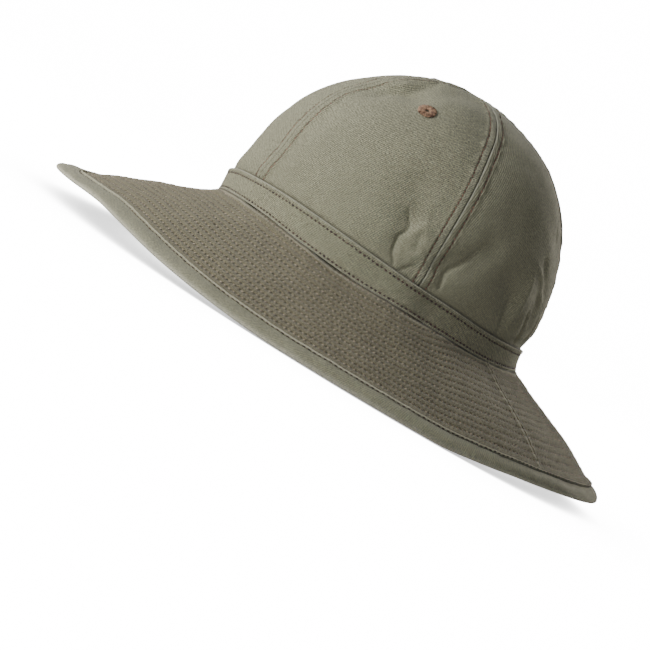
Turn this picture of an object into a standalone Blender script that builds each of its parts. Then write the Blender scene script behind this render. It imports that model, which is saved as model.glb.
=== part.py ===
"""Deck hat: a domed crown of five sewn panels, a folded band, a row-stitched drooping brim with a bound edge,
and two thread eyelets.

Metres, +Z up. The front of the hat is -Y and the wearer's left is +X. The hat rests on its brim at z = 0.
A turn is an angle round the hat: 0 at the front, a quarter at the wearer's left, a half at the back.
"""

import functools
import math
from collections import namedtuple

import bmesh
import bpy
from mathutils import Matrix, Vector

# Driving dimensions
BRIM_LENGTH = 0.3488
BRIM_WIDTH = 0.3280
CROWN_LENGTH = 0.1874
CROWN_WIDTH = 0.1722
CROWN_HEIGHT = 0.1183
CROWN_SET_BACK = 0.0035
FOOT_HEIGHT = 0.0464
BAND_HEIGHT = 0.0168
BRIM_LIFT = 0.0088
BINDING_WIDTH = 0.0120
FOLD_WIDTH = 0.0070
FOLD_DEPTH = 0.0024

# Cloth thicknesses
CROWN_WALL = 0.0016
BAND_WALL = 0.0016
BRIM_WALL = 0.0020
BINDING_WALL = 0.0024

# Clearances and small sizes
GAP = 0.0003
SEAM_GAP = 0.0004
FOOT_GAP = 0.0006
BAND_GAP = 0.0005
APEX_RADIUS = 0.0008
REST_LAND = 0.0030
NOSE_ROUND = 0.30
HEEL_SHARE = 0.35
EYELET_RADIUS = 0.0050
EYELET_ROPE = 0.0015
EYELET_HEIGHT = 0.0018
EYELET_BORE = 0.0016
BORE_DEPTH = 6 * CROWN_WALL
WELD_DISTANCE = 0.000001

# Places
PANELS = 5
EYELET_TURN = math.radians(71.8)
EYELET_RISE = 0.803

# Mesh densities
PANEL_COLUMNS = 14
PANEL_ROWS = 16
RING_COLUMNS = PANELS * PANEL_COLUMNS
BAND_ROWS = 3
BRIM_ROWS = 9
EYELET_SEGMENTS = 16
ROPE_SEGMENTS = 8
BORE_SEGMENTS = 12
PROFILE_STEPS = 200

# Crown outline, from the foot to the top. A reach is a share of the crown's half length or width.
CrownRow = namedtuple("CrownRow", "rise front side back")
CROWN_SECTION = (
    CrownRow(0.000, 1.000, 1.000, 1.000),
    CrownRow(0.060, 1.004, 1.000, 0.985),
    CrownRow(0.115, 1.007, 1.003, 0.977),
    CrownRow(0.165, 1.010, 1.008, 0.990),
    CrownRow(0.225, 0.997, 1.004, 0.995),
    CrownRow(0.310, 0.976, 0.985, 0.982),
    CrownRow(0.410, 0.956, 0.957, 0.957),
    CrownRow(0.510, 0.914, 0.918, 0.918),
    CrownRow(0.600, 0.860, 0.873, 0.871),
    CrownRow(0.680, 0.787, 0.815, 0.820),
    CrownRow(0.760, 0.688, 0.727, 0.748),
    CrownRow(0.830, 0.585, 0.625, 0.650),
    CrownRow(0.890, 0.478, 0.515, 0.540),
    CrownRow(0.940, 0.350, 0.383, 0.402),
    CrownRow(0.975, 0.225, 0.247, 0.258),
    CrownRow(0.994, 0.115, 0.121, 0.125),
    CrownRow(1.000, 0.000, 0.000, 0.000),
)

# Where the crown's seams run, in degrees from the front, up one side. The fifth seam is the centre back.
SeamRow = namedtuple("SeamRow", "rise fore aft")
SEAM_LINE = (
    SeamRow(0.00, 34.7, 105.2),
    SeamRow(0.15, 35.1, 105.1),
    SeamRow(0.30, 35.4, 105.0),
    SeamRow(0.50, 33.8, 105.9),
    SeamRow(0.70, 32.2, 107.2),
    SeamRow(0.78, 31.4, 108.4),
    SeamRow(0.85, 31.6, 110.4),
    SeamRow(0.92, 31.6, 112.6),
    SeamRow(1.00, 32.0, 116.0),
)

# The crown's soft folds, each from one place to another: degrees to the wearer's left of the front, and rise.
# Width and depth are shares of the fold sizes. A ridge has a depth under 0. They start clear of the band.
FOLD_START = 0.16
FOLD_FULL = 0.25
FoldRow = namedtuple("FoldRow", "turn rise turn_to rise_to width depth")
FOLDS = (
    FoldRow(38, 0.77, 57, 0.85, 1.3, 0.70),
    FoldRow(57, 0.85, 78, 0.97, 1.3, 0.70),
    FoldRow(92, 0.37, 92, 0.17, 0.8, 0.75),
    FoldRow(98, 0.34, 99, 0.18, 0.9, -0.55),
    FoldRow(122, 0.44, 109, 0.25, 1.0, 0.90),
    FoldRow(136, 0.36, 143, 0.17, 1.1, 0.65),
    FoldRow(146, 0.44, 151, 0.20, 0.9, -0.50),
    FoldRow(159, 0.38, 158, 0.17, 0.9, 0.60),
    FoldRow(166, 0.62, 174, 0.76, 1.3, 0.50),
    FoldRow(52, 0.23, 63, 0.18, 0.9, 0.40),
    FoldRow(-30, 0.80, -56, 0.90, 1.4, 0.60),
    FoldRow(-62, 0.32, -55, 0.19, 1.0, 0.60),
    FoldRow(-96, 0.40, -101, 0.20, 1.0, 0.70),
    FoldRow(-124, 0.38, -133, 0.19, 1.1, 0.65),
    FoldRow(-152, 0.44, -149, 0.19, 1.0, 0.60),
)

# The band's foot line and height round one side, as shares of the band's height. The other side mirrors it.
BandRow = namedtuple("BandRow", "degrees lift height")
BAND_LINE = (
    BandRow(0, 0.07, 0.75),
    BandRow(22, 0.23, 0.79),
    BandRow(47, 0.26, 0.88),
    BandRow(65, 0.13, 0.98),
    BandRow(86, 0.00, 0.99),
    BandRow(102, 0.00, 0.89),
    BandRow(118, -0.03, 0.86),
    BandRow(140, -0.07, 0.80),
    BandRow(180, 0.05, 0.69),
)

# The brim's fall from the band to the edge, as shares of its run and of its drop
BrimRow = namedtuple("BrimRow", "run front side back")
BRIM_SECTION = (
    BrimRow(0.00, 0.000, 0.000, 0.000),
    BrimRow(0.08, 0.130, 0.085, 0.062),
    BrimRow(0.20, 0.262, 0.200, 0.182),
    BrimRow(0.40, 0.447, 0.400, 0.345),
    BrimRow(0.60, 0.660, 0.600, 0.515),
    BrimRow(0.80, 0.892, 0.800, 0.748),
    BrimRow(0.92, 0.972, 0.920, 0.885),
    BrimRow(1.00, 1.000, 1.000, 1.000),
)

# Round one side: how far the brim's edge hangs clear of the table, as a share of the brim's lift, and the
# binding's width, as a share of its width at the side
EdgeRow = namedtuple("EdgeRow", "degrees lift width")
EDGE_LINE = (
    EdgeRow(0, 1.32, 1.22),
    EdgeRow(25, 1.41, 1.34),
    EdgeRow(38, 1.44, 1.32),
    EdgeRow(46, 1.18, 1.26),
    EdgeRow(58, 0.64, 1.16),
    EdgeRow(67, 0.33, 1.06),
    EdgeRow(76, 0.10, 1.04),
    EdgeRow(84, 0.00, 1.04),
    EdgeRow(116, 0.00, 0.97),
    EdgeRow(124, 0.20, 0.92),
    EdgeRow(135, 0.53, 0.83),
    EdgeRow(152, 0.82, 0.78),
    EdgeRow(180, 0.95, 0.76),
)

OLIVE = (0.235, 0.225, 0.150, 1.0)
OLIVE_BROWN = (0.190, 0.165, 0.110, 1.0)
COPPER_BROWN = (0.300, 0.150, 0.080, 1.0)


def curve_through(rows, column, at):
    """The value of a column where the first column is at, on a smooth curve through the rows, level at both ends."""
    places = [row[0] for row in rows]
    values = [row[rows[0]._fields.index(column)] for row in rows]
    last = len(rows) - 1
    at = min(max(at, places[0]), places[last])
    slopes = [0.0] * len(rows)
    for i in range(1, last):
        slopes[i] = (values[i + 1] - values[i - 1]) / (places[i + 1] - places[i - 1])
    if column in ("front", "side", "back", "fore", "aft"):
        slopes[0] = (values[1] - values[0]) / (places[1] - places[0])
        slopes[last] = (values[last] - values[last - 1]) / (places[last] - places[last - 1])
    i = max(k for k in range(last) if places[k] <= at)
    span = places[i + 1] - places[i]
    x = (at - places[i]) / span
    start = (1 + 2 * x) * (1 - x) ** 2 * values[i] + x * (1 - x) ** 2 * span * slopes[i]
    end = x * x * (3 - 2 * x) * values[i + 1] + x * x * (x - 1) * span * slopes[i + 1]
    return start + end


def side_degrees(turn):
    """The turn in degrees from the front, 0 to 180, the same on both sides of the hat."""
    return abs(math.degrees(math.remainder(turn, math.tau)))


def blend_round(rows, at, turn):
    """A section's value at a turn: the front, side and back columns mixed round the hat."""
    front = max(math.cos(turn), 0.0) ** 2
    back = max(-math.cos(turn), 0.0) ** 2
    side = math.sin(turn) ** 2
    return (
        front * curve_through(rows, "front", at)
        + side * curve_through(rows, "side", at)
        + back * curve_through(rows, "back", at)
    )


def oval_point(half_width, half_length, middle, turn):
    """The point of an oval at a turn, in plan."""
    return half_width * math.sin(turn), middle - half_length * math.cos(turn)


def foot_height(turn):
    """Height of the crown's foot and of the band's lower edge."""
    return FOOT_HEIGHT + BAND_HEIGHT * curve_through(BAND_LINE, "lift", side_degrees(turn))


def band_height(turn):
    """Height of the band at a turn."""
    return BAND_HEIGHT * curve_through(BAND_LINE, "height", side_degrees(turn))


@functools.cache
def crown_profile():
    """(length of cloth from the foot, rise) at even steps up the crown's side section."""
    profile = [(0.0, 0.0)]
    reach_before = 1.0
    for i in range(1, PROFILE_STEPS + 1):
        length, rise_before = profile[-1]
        rise = math.sin(0.5 * math.pi * i / PROFILE_STEPS)
        reach = curve_through(CROWN_SECTION, "side", rise)
        out = (reach - reach_before) * CROWN_WIDTH / 2
        length += math.hypot(out, (rise - rise_before) * CROWN_HEIGHT)
        profile.append((length, rise))
        reach_before = reach
    return profile


def rise_at(share):
    """The rise at a share of the crown's section: share 0 is the foot and 1 the top, by length of cloth."""
    profile = crown_profile()
    wanted = share * profile[-1][0]
    i = max(k for k in range(PROFILE_STEPS) if profile[k][0] <= wanted)
    length, rise = profile[i]
    next_length, next_rise = profile[i + 1]
    return rise + (wanted - length) / (next_length - length) * (next_rise - rise)


def smooth_crown_point(turn, rise, proud=0.0):
    """A point of the crown's outside before folding, moved out level by proud."""
    reach = blend_round(CROWN_SECTION, rise, turn)
    x, y = oval_point(
        reach * CROWN_WIDTH / 2 + proud, reach * CROWN_LENGTH / 2 + proud, CROWN_SET_BACK, turn
    )
    foot = foot_height(turn)
    return Vector((x, y, foot + rise * (FOOT_HEIGHT + CROWN_HEIGHT - foot)))


@functools.cache
def fold_lines():
    """Each fold as its two ends on the smooth crown, its width and its depth."""
    lines = []
    for fold in FOLDS:
        start = smooth_crown_point(math.radians(fold.turn), fold.rise)
        end = smooth_crown_point(math.radians(fold.turn_to), fold.rise_to)
        lines.append((start, end, fold.width * FOLD_WIDTH, fold.depth * FOLD_DEPTH))
    return lines


def fold_depth(place):
    """How far the folds draw the cloth in at a place on the smooth crown."""
    depth = 0.0
    for start, end, width, full in fold_lines():
        run = end - start
        share = min(max((place - start).dot(run) / run.length_squared, 0.0), 1.0)
        away = (place - start - run * share).length
        depth += full * math.exp(-((away / width) ** 2))
    return depth


def crown_point(turn, rise):
    """A point of the crown's outside with its folds."""
    place = smooth_crown_point(turn, rise)
    fade = min(max((rise - FOLD_START) / (FOLD_FULL - FOLD_START), 0.0), 1.0)
    if fade == 0.0:
        return place
    inward = (Vector((0.0, CROWN_SET_BACK, FOOT_HEIGHT)) - place).normalized()
    return place + inward * fade * fold_depth(place)


def band_point(turn, share):
    """A point of the band's outside: share 0 is the lower edge and 1 the upper."""
    rise = share * band_height(turn) / (FOOT_HEIGHT + CROWN_HEIGHT - foot_height(turn))
    return smooth_crown_point(turn, rise, BAND_GAP + BAND_WALL)


def brim_start(turn):
    """Where the brim leaves the band."""
    x, y = band_point(turn, 0.0).xy
    return Vector((x, y, foot_height(turn) - FOOT_GAP))


def brim_end(turn):
    """The outer edge of the brim's upper face."""
    x, y = oval_point(BRIM_WIDTH / 2, BRIM_LENGTH / 2, 0.0, turn)
    lift = max(curve_through(EDGE_LINE, "lift", side_degrees(turn)), 0.0)
    return Vector((x, y, lift * BRIM_LIFT + BINDING_WALL))


def brim_point(turn, run):
    """A point of the brim's upper face: run 0 is at the band and 1 at the edge."""
    start = brim_start(turn)
    end = brim_end(turn)
    place = start.lerp(end, run)
    place.z = start.z + (end.z - start.z) * blend_round(BRIM_SECTION, run, turn)
    return place


def binding_run(turn):
    """The run share where the binding starts, from its width at this turn."""
    slant = (brim_end(turn) - brim_start(turn)).length
    width = BINDING_WIDTH * curve_through(EDGE_LINE, "width", side_degrees(turn))
    return 1.0 - width / slant


def make_material(name, colour, roughness):
    """A plain cloth or thread material."""
    material = bpy.data.materials.new(name)
    material.use_nodes = True
    shader = material.node_tree.nodes["Principled BSDF"]
    shader.inputs["Base Color"].default_value = colour
    shader.inputs["Roughness"].default_value = roughness
    shader.inputs["Metallic"].default_value = 0.0
    material.diffuse_color = colour
    return material


def mapped_grid(name, columns, rows, place, material, collection):
    """A grid of columns by rows faces, each vertex put where place(across, up) says. Both run from 0 to 1."""
    shape = bmesh.new()
    bmesh.ops.create_grid(shape, x_segments=columns, y_segments=rows, size=0.5)
    for vertex in shape.verts:
        across = min(max(vertex.co.x + 0.5, 0.0), 1.0)
        up = min(max(vertex.co.y + 0.5, 0.0), 1.0)
        vertex.co = place(across, up)
    bmesh.ops.remove_doubles(shape, verts=shape.verts, dist=WELD_DISTANCE)
    mesh = bpy.data.meshes.new(name)
    shape.to_mesh(mesh)
    shape.free()
    mesh.shade_smooth()
    mesh.materials.append(material)
    piece = bpy.data.objects.new(name, mesh)
    collection.objects.link(piece)
    return piece


def give_wall(piece, thickness):
    """A wall under the surface, on the side away from its normals."""
    solidify = piece.modifiers.new("Wall", "SOLIDIFY")
    solidify.thickness = thickness
    solidify.offset = -1.0
    solidify.use_even_offset = True


def seam_turn(index, rise):
    """The turn of a crown seam at a rise. Seams 0 to 4 go round by the left, and seam 2 is the centre back."""
    fore = math.radians(curve_through(SEAM_LINE, "fore", rise))
    aft = math.radians(curve_through(SEAM_LINE, "aft", rise))
    return (fore, aft, math.pi, math.tau - aft, math.tau - fore)[index]


def build_crown_panel(name, index, material, collection):
    """The panel between a seam and the next one round."""
    apex_share = 1.0 - APEX_RADIUS / (CROWN_WIDTH / 2)

    def place(across, up):
        rise = rise_at(up * apex_share)
        first = seam_turn(index, rise)
        last = seam_turn((index + 1) % PANELS, rise)
        last += math.tau if last < first else 0.0
        reach = blend_round(CROWN_SECTION, rise, (first + last) / 2) * CROWN_WIDTH / 2
        margin = 0.5 * SEAM_GAP / max(reach, APEX_RADIUS)
        turn = first + margin + across * (last - first - 2 * margin)
        return crown_point(turn, rise)

    piece = mapped_grid(name, PANEL_COLUMNS, PANEL_ROWS, place, material, collection)
    give_wall(piece, CROWN_WALL)
    return piece


def ring_turn(share):
    """The turn at a share of the way round from the first seam, in step with the columns of the panels."""
    place = share * PANELS
    index = min(int(place), PANELS - 1)
    first = seam_turn(index, 0.0)
    last = seam_turn((index + 1) % PANELS, 0.0)
    last += math.tau if last < first else 0.0
    return first + (place - index) * (last - first)


def build_band(material, collection):
    """The folded band round the foot of the crown."""
    def place(across, up):
        return band_point(ring_turn(across), up)

    piece = mapped_grid("band", RING_COLUMNS, BAND_ROWS, place, material, collection)
    give_wall(piece, BAND_WALL)
    return piece


def build_brim(material, collection):
    """The row-stitched brim, from under the crown's wall out to the binding."""
    rows = BRIM_ROWS + 1

    def place(across, up):
        turn = ring_turn(1.0 - across)
        step = up * rows
        if step < 0.5:
            x, y = smooth_crown_point(turn, 0.0, -CROWN_WALL).xy
            return Vector((x, y, foot_height(turn) - FOOT_GAP))
        return brim_point(turn, (step - 1) / BRIM_ROWS * binding_run(turn))

    piece = mapped_grid("brim", RING_COLUMNS, rows, place, material, collection)
    give_wall(piece, BRIM_WALL)
    return piece


def binding_section(turn):
    """The closed section of the binding at a turn: upper face, rounded nose, level land under it, lower face."""
    run = binding_run(turn)
    slope_out = (brim_point(turn, 1.0) - brim_point(turn, run)).normalized()
    start = brim_point(turn, run) + slope_out * GAP
    end = brim_point(turn, 1.0)
    outward = Vector((slope_out.x, slope_out.y, 0.0)).normalized()
    down = Vector((0.0, 0.0, -1.0))
    under = (down + slope_out * slope_out.z).normalized()
    nose = BINDING_WALL / 2
    floor_end = end + down * BINDING_WALL
    return (
        start,
        start.lerp(end, 0.5),
        end - slope_out * nose,
        end + (down - outward) * (NOSE_ROUND * nose),
        end + down * nose,
        floor_end - outward * (HEEL_SHARE * nose),
        floor_end - outward * REST_LAND,
        start.lerp(end, 0.5) + under * BINDING_WALL,
        start + under * BINDING_WALL,
    )


def build_binding(material, collection):
    """The binding round the edge of the brim, one closed ring."""
    corners = len(binding_section(0.0))

    def place(across, up):
        section = binding_section(ring_turn(1.0 - across))
        return section[round(up * corners) % corners]

    return mapped_grid("brim_edge", RING_COLUMNS, corners, place, material, collection)


def crown_frame(turn, rise):
    """A matrix at a point of the crown's outside, its Z along the outward normal."""
    step = 0.01
    place = crown_point(turn, rise)
    along = crown_point(turn + step, rise) - crown_point(turn - step, rise)
    upward = crown_point(turn, rise + step) - crown_point(turn, rise - step)
    normal = along.cross(upward).normalized()
    along.normalize()
    across = normal.cross(along)
    frame = Matrix((along, across, normal)).transposed().to_4x4()
    frame.translation = place
    return frame


def build_eyelet(name, turn, panel, material, collection, cutters):
    """A thread eyelet on a panel, and the small hole through the panel under it."""
    frame = crown_frame(turn, EYELET_RISE)
    bpy.ops.mesh.primitive_torus_add(
        major_segments=EYELET_SEGMENTS,
        minor_segments=ROPE_SEGMENTS,
        major_radius=EYELET_RADIUS - EYELET_ROPE,
        minor_radius=EYELET_ROPE,
    )
    ring = bpy.context.object
    ring.name = name
    ring.data.name = name
    squash = EYELET_HEIGHT / (2 * EYELET_ROPE)
    ring.data.transform(Matrix.Diagonal((1.0, 1.0, squash, 1.0)))
    ring.data.shade_smooth()
    ring.data.materials.append(material)
    ring.matrix_world = frame @ Matrix.Translation((0.0, 0.0, EYELET_HEIGHT / 2 + GAP))
    move_to(ring, collection)

    bpy.ops.mesh.primitive_cylinder_add(vertices=BORE_SEGMENTS, radius=EYELET_BORE, depth=BORE_DEPTH)
    cutter = bpy.context.object
    cutter.name = name + "_cutter"
    cutter.matrix_world = frame
    cutter.hide_render = True
    cutter.display_type = "WIRE"
    move_to(cutter, cutters)
    cut = panel.modifiers.new("Eyelet hole", "BOOLEAN")
    cut.operation = "DIFFERENCE"
    cut.solver = "EXACT"
    cut.object = cutter


def move_to(piece, collection):
    """Links an object to this collection alone."""
    for other in piece.users_collection:
        other.objects.unlink(piece)
    collection.objects.link(piece)


def main():
    for old in list(bpy.data.objects):
        bpy.data.objects.remove(old)
    parts = bpy.data.collections.new("Deck hat")
    cutters = bpy.data.collections.new("Cutters")
    bpy.context.scene.collection.children.link(parts)
    bpy.context.scene.collection.children.link(cutters)

    twill = make_material("Crown twill", OLIVE, 0.9)
    band_twill = make_material("Band twill", OLIVE, 0.9)
    stitched = make_material("Stitched brim", OLIVE_BROWN, 0.92)
    bound = make_material("Brim binding", OLIVE, 0.9)
    thread = make_material("Eyelet thread", COPPER_BROWN, 0.7)

    names = ("left", "back_left", "back_right", "right", "front")
    panels = {}
    for index, side in enumerate(names):
        panels[side] = build_crown_panel("crown_panel_" + side, index, twill, parts)
    build_band(band_twill, parts)
    build_brim(stitched, parts)
    build_binding(bound, parts)
    build_eyelet("eyelet_left", EYELET_TURN, panels["left"], thread, parts, cutters)
    build_eyelet("eyelet_right", -EYELET_TURN, panels["right"], thread, parts, cutters)


if __name__ == "__main__":
    main()
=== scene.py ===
"""Deck hat: five twill panels, a folded band, a row-stitched brim with a bound edge, and two thread eyelets.

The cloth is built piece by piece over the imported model. Metres, +Z up, the front of the hat is -Y and the
wearer's left is +X. A turn is an angle round the hat: 0 at the front, a quarter at the wearer's left.
"""

import logging
import math
from dataclasses import dataclass, field
from enum import Enum
from typing import NamedTuple, Sequence

import bmesh
import bpy
import numpy as np
from mathutils import Matrix, Vector


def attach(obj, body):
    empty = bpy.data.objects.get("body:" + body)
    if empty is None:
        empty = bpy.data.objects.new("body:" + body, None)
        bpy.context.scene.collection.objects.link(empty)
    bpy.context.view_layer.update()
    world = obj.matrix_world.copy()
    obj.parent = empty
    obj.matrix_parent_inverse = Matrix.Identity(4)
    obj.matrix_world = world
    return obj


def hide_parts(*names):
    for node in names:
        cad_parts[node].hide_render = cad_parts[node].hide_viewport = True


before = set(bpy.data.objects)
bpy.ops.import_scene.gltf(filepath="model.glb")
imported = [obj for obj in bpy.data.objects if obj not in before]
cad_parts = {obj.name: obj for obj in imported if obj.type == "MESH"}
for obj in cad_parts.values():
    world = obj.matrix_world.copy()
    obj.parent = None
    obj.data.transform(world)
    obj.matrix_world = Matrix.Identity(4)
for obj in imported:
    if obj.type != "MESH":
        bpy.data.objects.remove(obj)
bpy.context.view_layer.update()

EYELET_DEGREES = 71.8
SEAMS = 5
MM = 0.001
Array = np.ndarray
log = logging.getLogger("deck_hat")


class CrownRow(NamedTuple):
    """One height of the crown: its reach as a share of the half length or width."""

    rise: float
    front: float
    side: float
    back: float


class SeamRow(NamedTuple):
    """Where the crown's seams run at one height, in degrees from the front."""

    rise: float
    fore: float
    aft: float


class BandRow(NamedTuple):
    """The band's foot line and height at one turn, as shares of the band's height."""

    degrees: float
    lift: float
    height: float


class BrimRow(NamedTuple):
    """The brim's fall at one share of its run, as a share of its drop."""

    run: float
    front: float
    side: float
    back: float


class EdgeRow(NamedTuple):
    """How high the brim's edge hangs and how wide the binding is at one turn, as shares."""

    degrees: float
    lift: float
    width: float


class QuiltRow(NamedTuple):
    """How many rows of quilting cross the brim at one turn."""

    degrees: float
    count: float


class FoldRow(NamedTuple):
    """A soft fold of the crown from one place to another: degrees and rise, then shares of the fold sizes."""

    turn: float
    rise: float
    turn_to: float
    rise_to: float
    width: float
    depth: float


class LampRow(NamedTuple):
    """A soft lamp: its turn and elevation in degrees, its power in watts and its colour."""

    name: str
    turn: float
    height: float
    power: float
    colour: tuple[float, float, float]


class Fade(Enum):
    """Which ends of a crease run out into flat cloth."""

    START = "start"
    BOTH = "both"


class Crease(NamedTuple):
    """A finer crease along a path of (degrees, rise). A ridge has a depth under 0. Sizes in millimetres."""

    path: tuple[tuple[float, float], ...]
    width: float
    depth: float
    fade: Fade


CROWN_SECTION = (
    CrownRow(0.000, 1.000, 1.000, 1.000),
    CrownRow(0.060, 1.004, 1.000, 0.985),
    CrownRow(0.115, 1.007, 1.003, 0.977),
    CrownRow(0.165, 1.010, 1.008, 0.990),
    CrownRow(0.225, 0.997, 1.004, 0.995),
    CrownRow(0.310, 0.976, 0.985, 0.982),
    CrownRow(0.410, 0.956, 0.957, 0.957),
    CrownRow(0.510, 0.914, 0.918, 0.918),
    CrownRow(0.600, 0.860, 0.873, 0.871),
    CrownRow(0.680, 0.787, 0.815, 0.820),
    CrownRow(0.760, 0.688, 0.727, 0.748),
    CrownRow(0.830, 0.585, 0.625, 0.650),
    CrownRow(0.890, 0.478, 0.515, 0.540),
    CrownRow(0.940, 0.350, 0.383, 0.402),
    CrownRow(0.975, 0.225, 0.247, 0.258),
    CrownRow(0.994, 0.115, 0.121, 0.125),
    CrownRow(1.000, 0.000, 0.000, 0.000),
)
SEAM_LINE = (
    SeamRow(0.00, 34.7, 105.2),
    SeamRow(0.15, 35.1, 105.1),
    SeamRow(0.30, 35.4, 105.0),
    SeamRow(0.50, 33.8, 105.9),
    SeamRow(0.70, 32.2, 107.2),
    SeamRow(0.78, 31.4, 108.4),
    SeamRow(0.85, 31.6, 110.4),
    SeamRow(0.92, 31.6, 112.6),
    SeamRow(1.00, 32.0, 116.0),
)
BAND_LINE = (
    BandRow(0, 0.07, 0.75),
    BandRow(22, 0.23, 0.79),
    BandRow(47, 0.26, 0.88),
    BandRow(65, 0.13, 0.98),
    BandRow(86, 0.00, 0.99),
    BandRow(102, 0.00, 0.89),
    BandRow(118, -0.03, 0.86),
    BandRow(140, -0.07, 0.80),
    BandRow(180, 0.05, 0.69),
)
BRIM_SECTION = (
    BrimRow(0.00, 0.000, 0.000, 0.000),
    BrimRow(0.08, 0.130, 0.085, 0.062),
    BrimRow(0.20, 0.262, 0.200, 0.182),
    BrimRow(0.40, 0.447, 0.400, 0.345),
    BrimRow(0.60, 0.660, 0.600, 0.515),
    BrimRow(0.80, 0.892, 0.800, 0.748),
    BrimRow(0.92, 0.972, 0.920, 0.885),
    BrimRow(1.00, 1.000, 1.000, 1.000),
)
EDGE_LINE = (
    EdgeRow(0, 1.32, 1.22),
    EdgeRow(25, 1.41, 1.34),
    EdgeRow(38, 1.44, 1.32),
    EdgeRow(46, 1.18, 1.26),
    EdgeRow(58, 0.64, 1.16),
    EdgeRow(67, 0.33, 1.06),
    EdgeRow(76, 0.10, 1.04),
    EdgeRow(84, 0.00, 1.04),
    EdgeRow(116, 0.00, 0.97),
    EdgeRow(124, 0.20, 0.92),
    EdgeRow(135, 0.53, 0.83),
    EdgeRow(152, 0.82, 0.78),
    EdgeRow(180, 0.95, 0.76),
)
QUILT_LINE = (
    QuiltRow(0, 14.2),
    QuiltRow(25, 14.5),
    QuiltRow(45, 15.1),
    QuiltRow(65, 15.6),
    QuiltRow(85, 16.3),
    QuiltRow(97, 16.5),
    QuiltRow(108, 16.2),
    QuiltRow(118, 15.3),
    QuiltRow(126, 14.3),
    QuiltRow(140, 13.8),
    QuiltRow(180, 13.6),
)
FOLDS = (
    FoldRow(38, 0.77, 57, 0.85, 1.3, 0.70),
    FoldRow(57, 0.85, 78, 0.97, 1.3, 0.70),
    FoldRow(92, 0.37, 92, 0.17, 0.8, 0.75),
    FoldRow(98, 0.34, 99, 0.18, 0.9, -0.55),
    FoldRow(122, 0.44, 109, 0.25, 1.0, 0.90),
    FoldRow(136, 0.36, 143, 0.17, 1.1, 0.65),
    FoldRow(146, 0.44, 151, 0.20, 0.9, -0.50),
    FoldRow(159, 0.38, 158, 0.17, 0.9, 0.60),
    FoldRow(166, 0.62, 174, 0.76, 1.3, 0.50),
    FoldRow(52, 0.23, 63, 0.18, 0.9, 0.40),
    FoldRow(-30, 0.80, -56, 0.90, 1.4, 0.60),
    FoldRow(-62, 0.32, -55, 0.19, 1.0, 0.60),
    FoldRow(-96, 0.40, -101, 0.20, 1.0, 0.70),
    FoldRow(-124, 0.38, -133, 0.19, 1.1, 0.65),
    FoldRow(-152, 0.44, -149, 0.19, 1.0, 0.60),
)
CREASES = (
    Crease(((86, 0.625), (88.5, 0.51), (90.5, 0.385), (92.5, 0.265)), 11.0, 1.7, Fade.BOTH),
    Crease(((88, 0.43), (92.5, 0.34), (92.5, 0.315), (91, 0.275), (91.5, 0.235), (92, 0.195), (94.3, 0.155)),
           0.8, 1.20, Fade.START),
    Crease(((99, 0.395), (95.5, 0.345), (94.3, 0.295), (93.2, 0.255), (93.7, 0.22), (94.8, 0.175),
            (96.2, 0.145)), 1.9, -0.6, Fade.BOTH),
    Crease(((96.5, 0.46), (98.6, 0.42), (98.6, 0.38)), 1.8, 0.5, Fade.BOTH),
    Crease(((97.0, 0.345), (97.2, 0.32), (97.8, 0.29), (97.8, 0.26), (97.0, 0.22)), 2.7, 1.4, Fade.BOTH),
    Crease(((101, 0.195), (99.4, 0.183), (97.6, 0.152), (96, 0.125)), 0.8, 0.8, Fade.START),
    Crease(((121, 0.46), (117.5, 0.385), (116, 0.345), (114, 0.31), (111.5, 0.27), (110.5, 0.235),
            (111, 0.17)), 1.1, 1.5, Fade.START),
    Crease(((119, 0.36), (115, 0.28), (113, 0.22)), 2.4, -0.5, Fade.BOTH),
    Crease(((120, 0.47), (112, 0.37), (107.5, 0.30)), 3.0, -0.4, Fade.BOTH),
    Crease(((147, 0.46), (146, 0.40), (145.5, 0.285), (145, 0.21), (148, 0.15)), 2.6, -1.5, Fade.BOTH),
    Crease(((141, 0.35), (141, 0.26), (141.2, 0.21), (143.5, 0.13)), 2.4, 1.6, Fade.START),
    Crease(((155, 0.36), (155.5, 0.27), (159, 0.22)), 2.2, -1.2, Fade.BOTH),
    Crease(((153, 0.30), (153.5, 0.26), (156, 0.21), (158, 0.13)), 2.0, 1.4, Fade.START),
    Crease(((145, 0.505), (148.5, 0.47), (155.5, 0.415), (161.5, 0.355), (164, 0.30)), 2.4, -1.3, Fade.BOTH),
    Crease(((152, 0.55), (155, 0.47), (160, 0.43)), 2.6, 1.0, Fade.BOTH),
    Crease(((165, 0.30), (168, 0.20), (169, 0.12)), 1.8, 0.8, Fade.START),
    Crease(((168, 0.76), (166, 0.68), (163, 0.60)), 2.0, 0.7, Fade.BOTH),
    Crease(((45, 0.66), (45, 0.73), (45, 0.80), (50.5, 0.85), (49, 0.905), (48.5, 0.94), (57, 0.96)),
           4.4, 2.0, Fade.BOTH),
    Crease(((37, 0.80), (39.5, 0.85), (43, 0.89)), 2.6, -0.6, Fade.BOTH),
    Crease(((58, 0.19), (62, 0.16), (64, 0.12)), 1.6, 0.5, Fade.START),
    Crease(((128, 0.22), (127, 0.17), (128, 0.12)), 1.6, 0.5, Fade.START),
    Crease(((-88, 0.36), (-92, 0.26), (-96, 0.14)), 1.8, 0.8, Fade.START),
    Crease(((-64, 0.30), (-59, 0.22), (-57, 0.12)), 2.0, 0.7, Fade.START),
    Crease(((-118, 0.44), (-125, 0.33), (-131, 0.14)), 2.2, 0.9, Fade.START),
    Crease(((-150, 0.46), (-147, 0.30), (-150, 0.13)), 1.8, 0.7, Fade.START),
    Crease(((-166, 0.30), (-168, 0.20), (-167, 0.12)), 1.8, 0.6, Fade.START),
    Crease(((-20, 0.26), (-15, 0.19), (-14, 0.12)), 2.0, 0.5, Fade.START),
)
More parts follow.
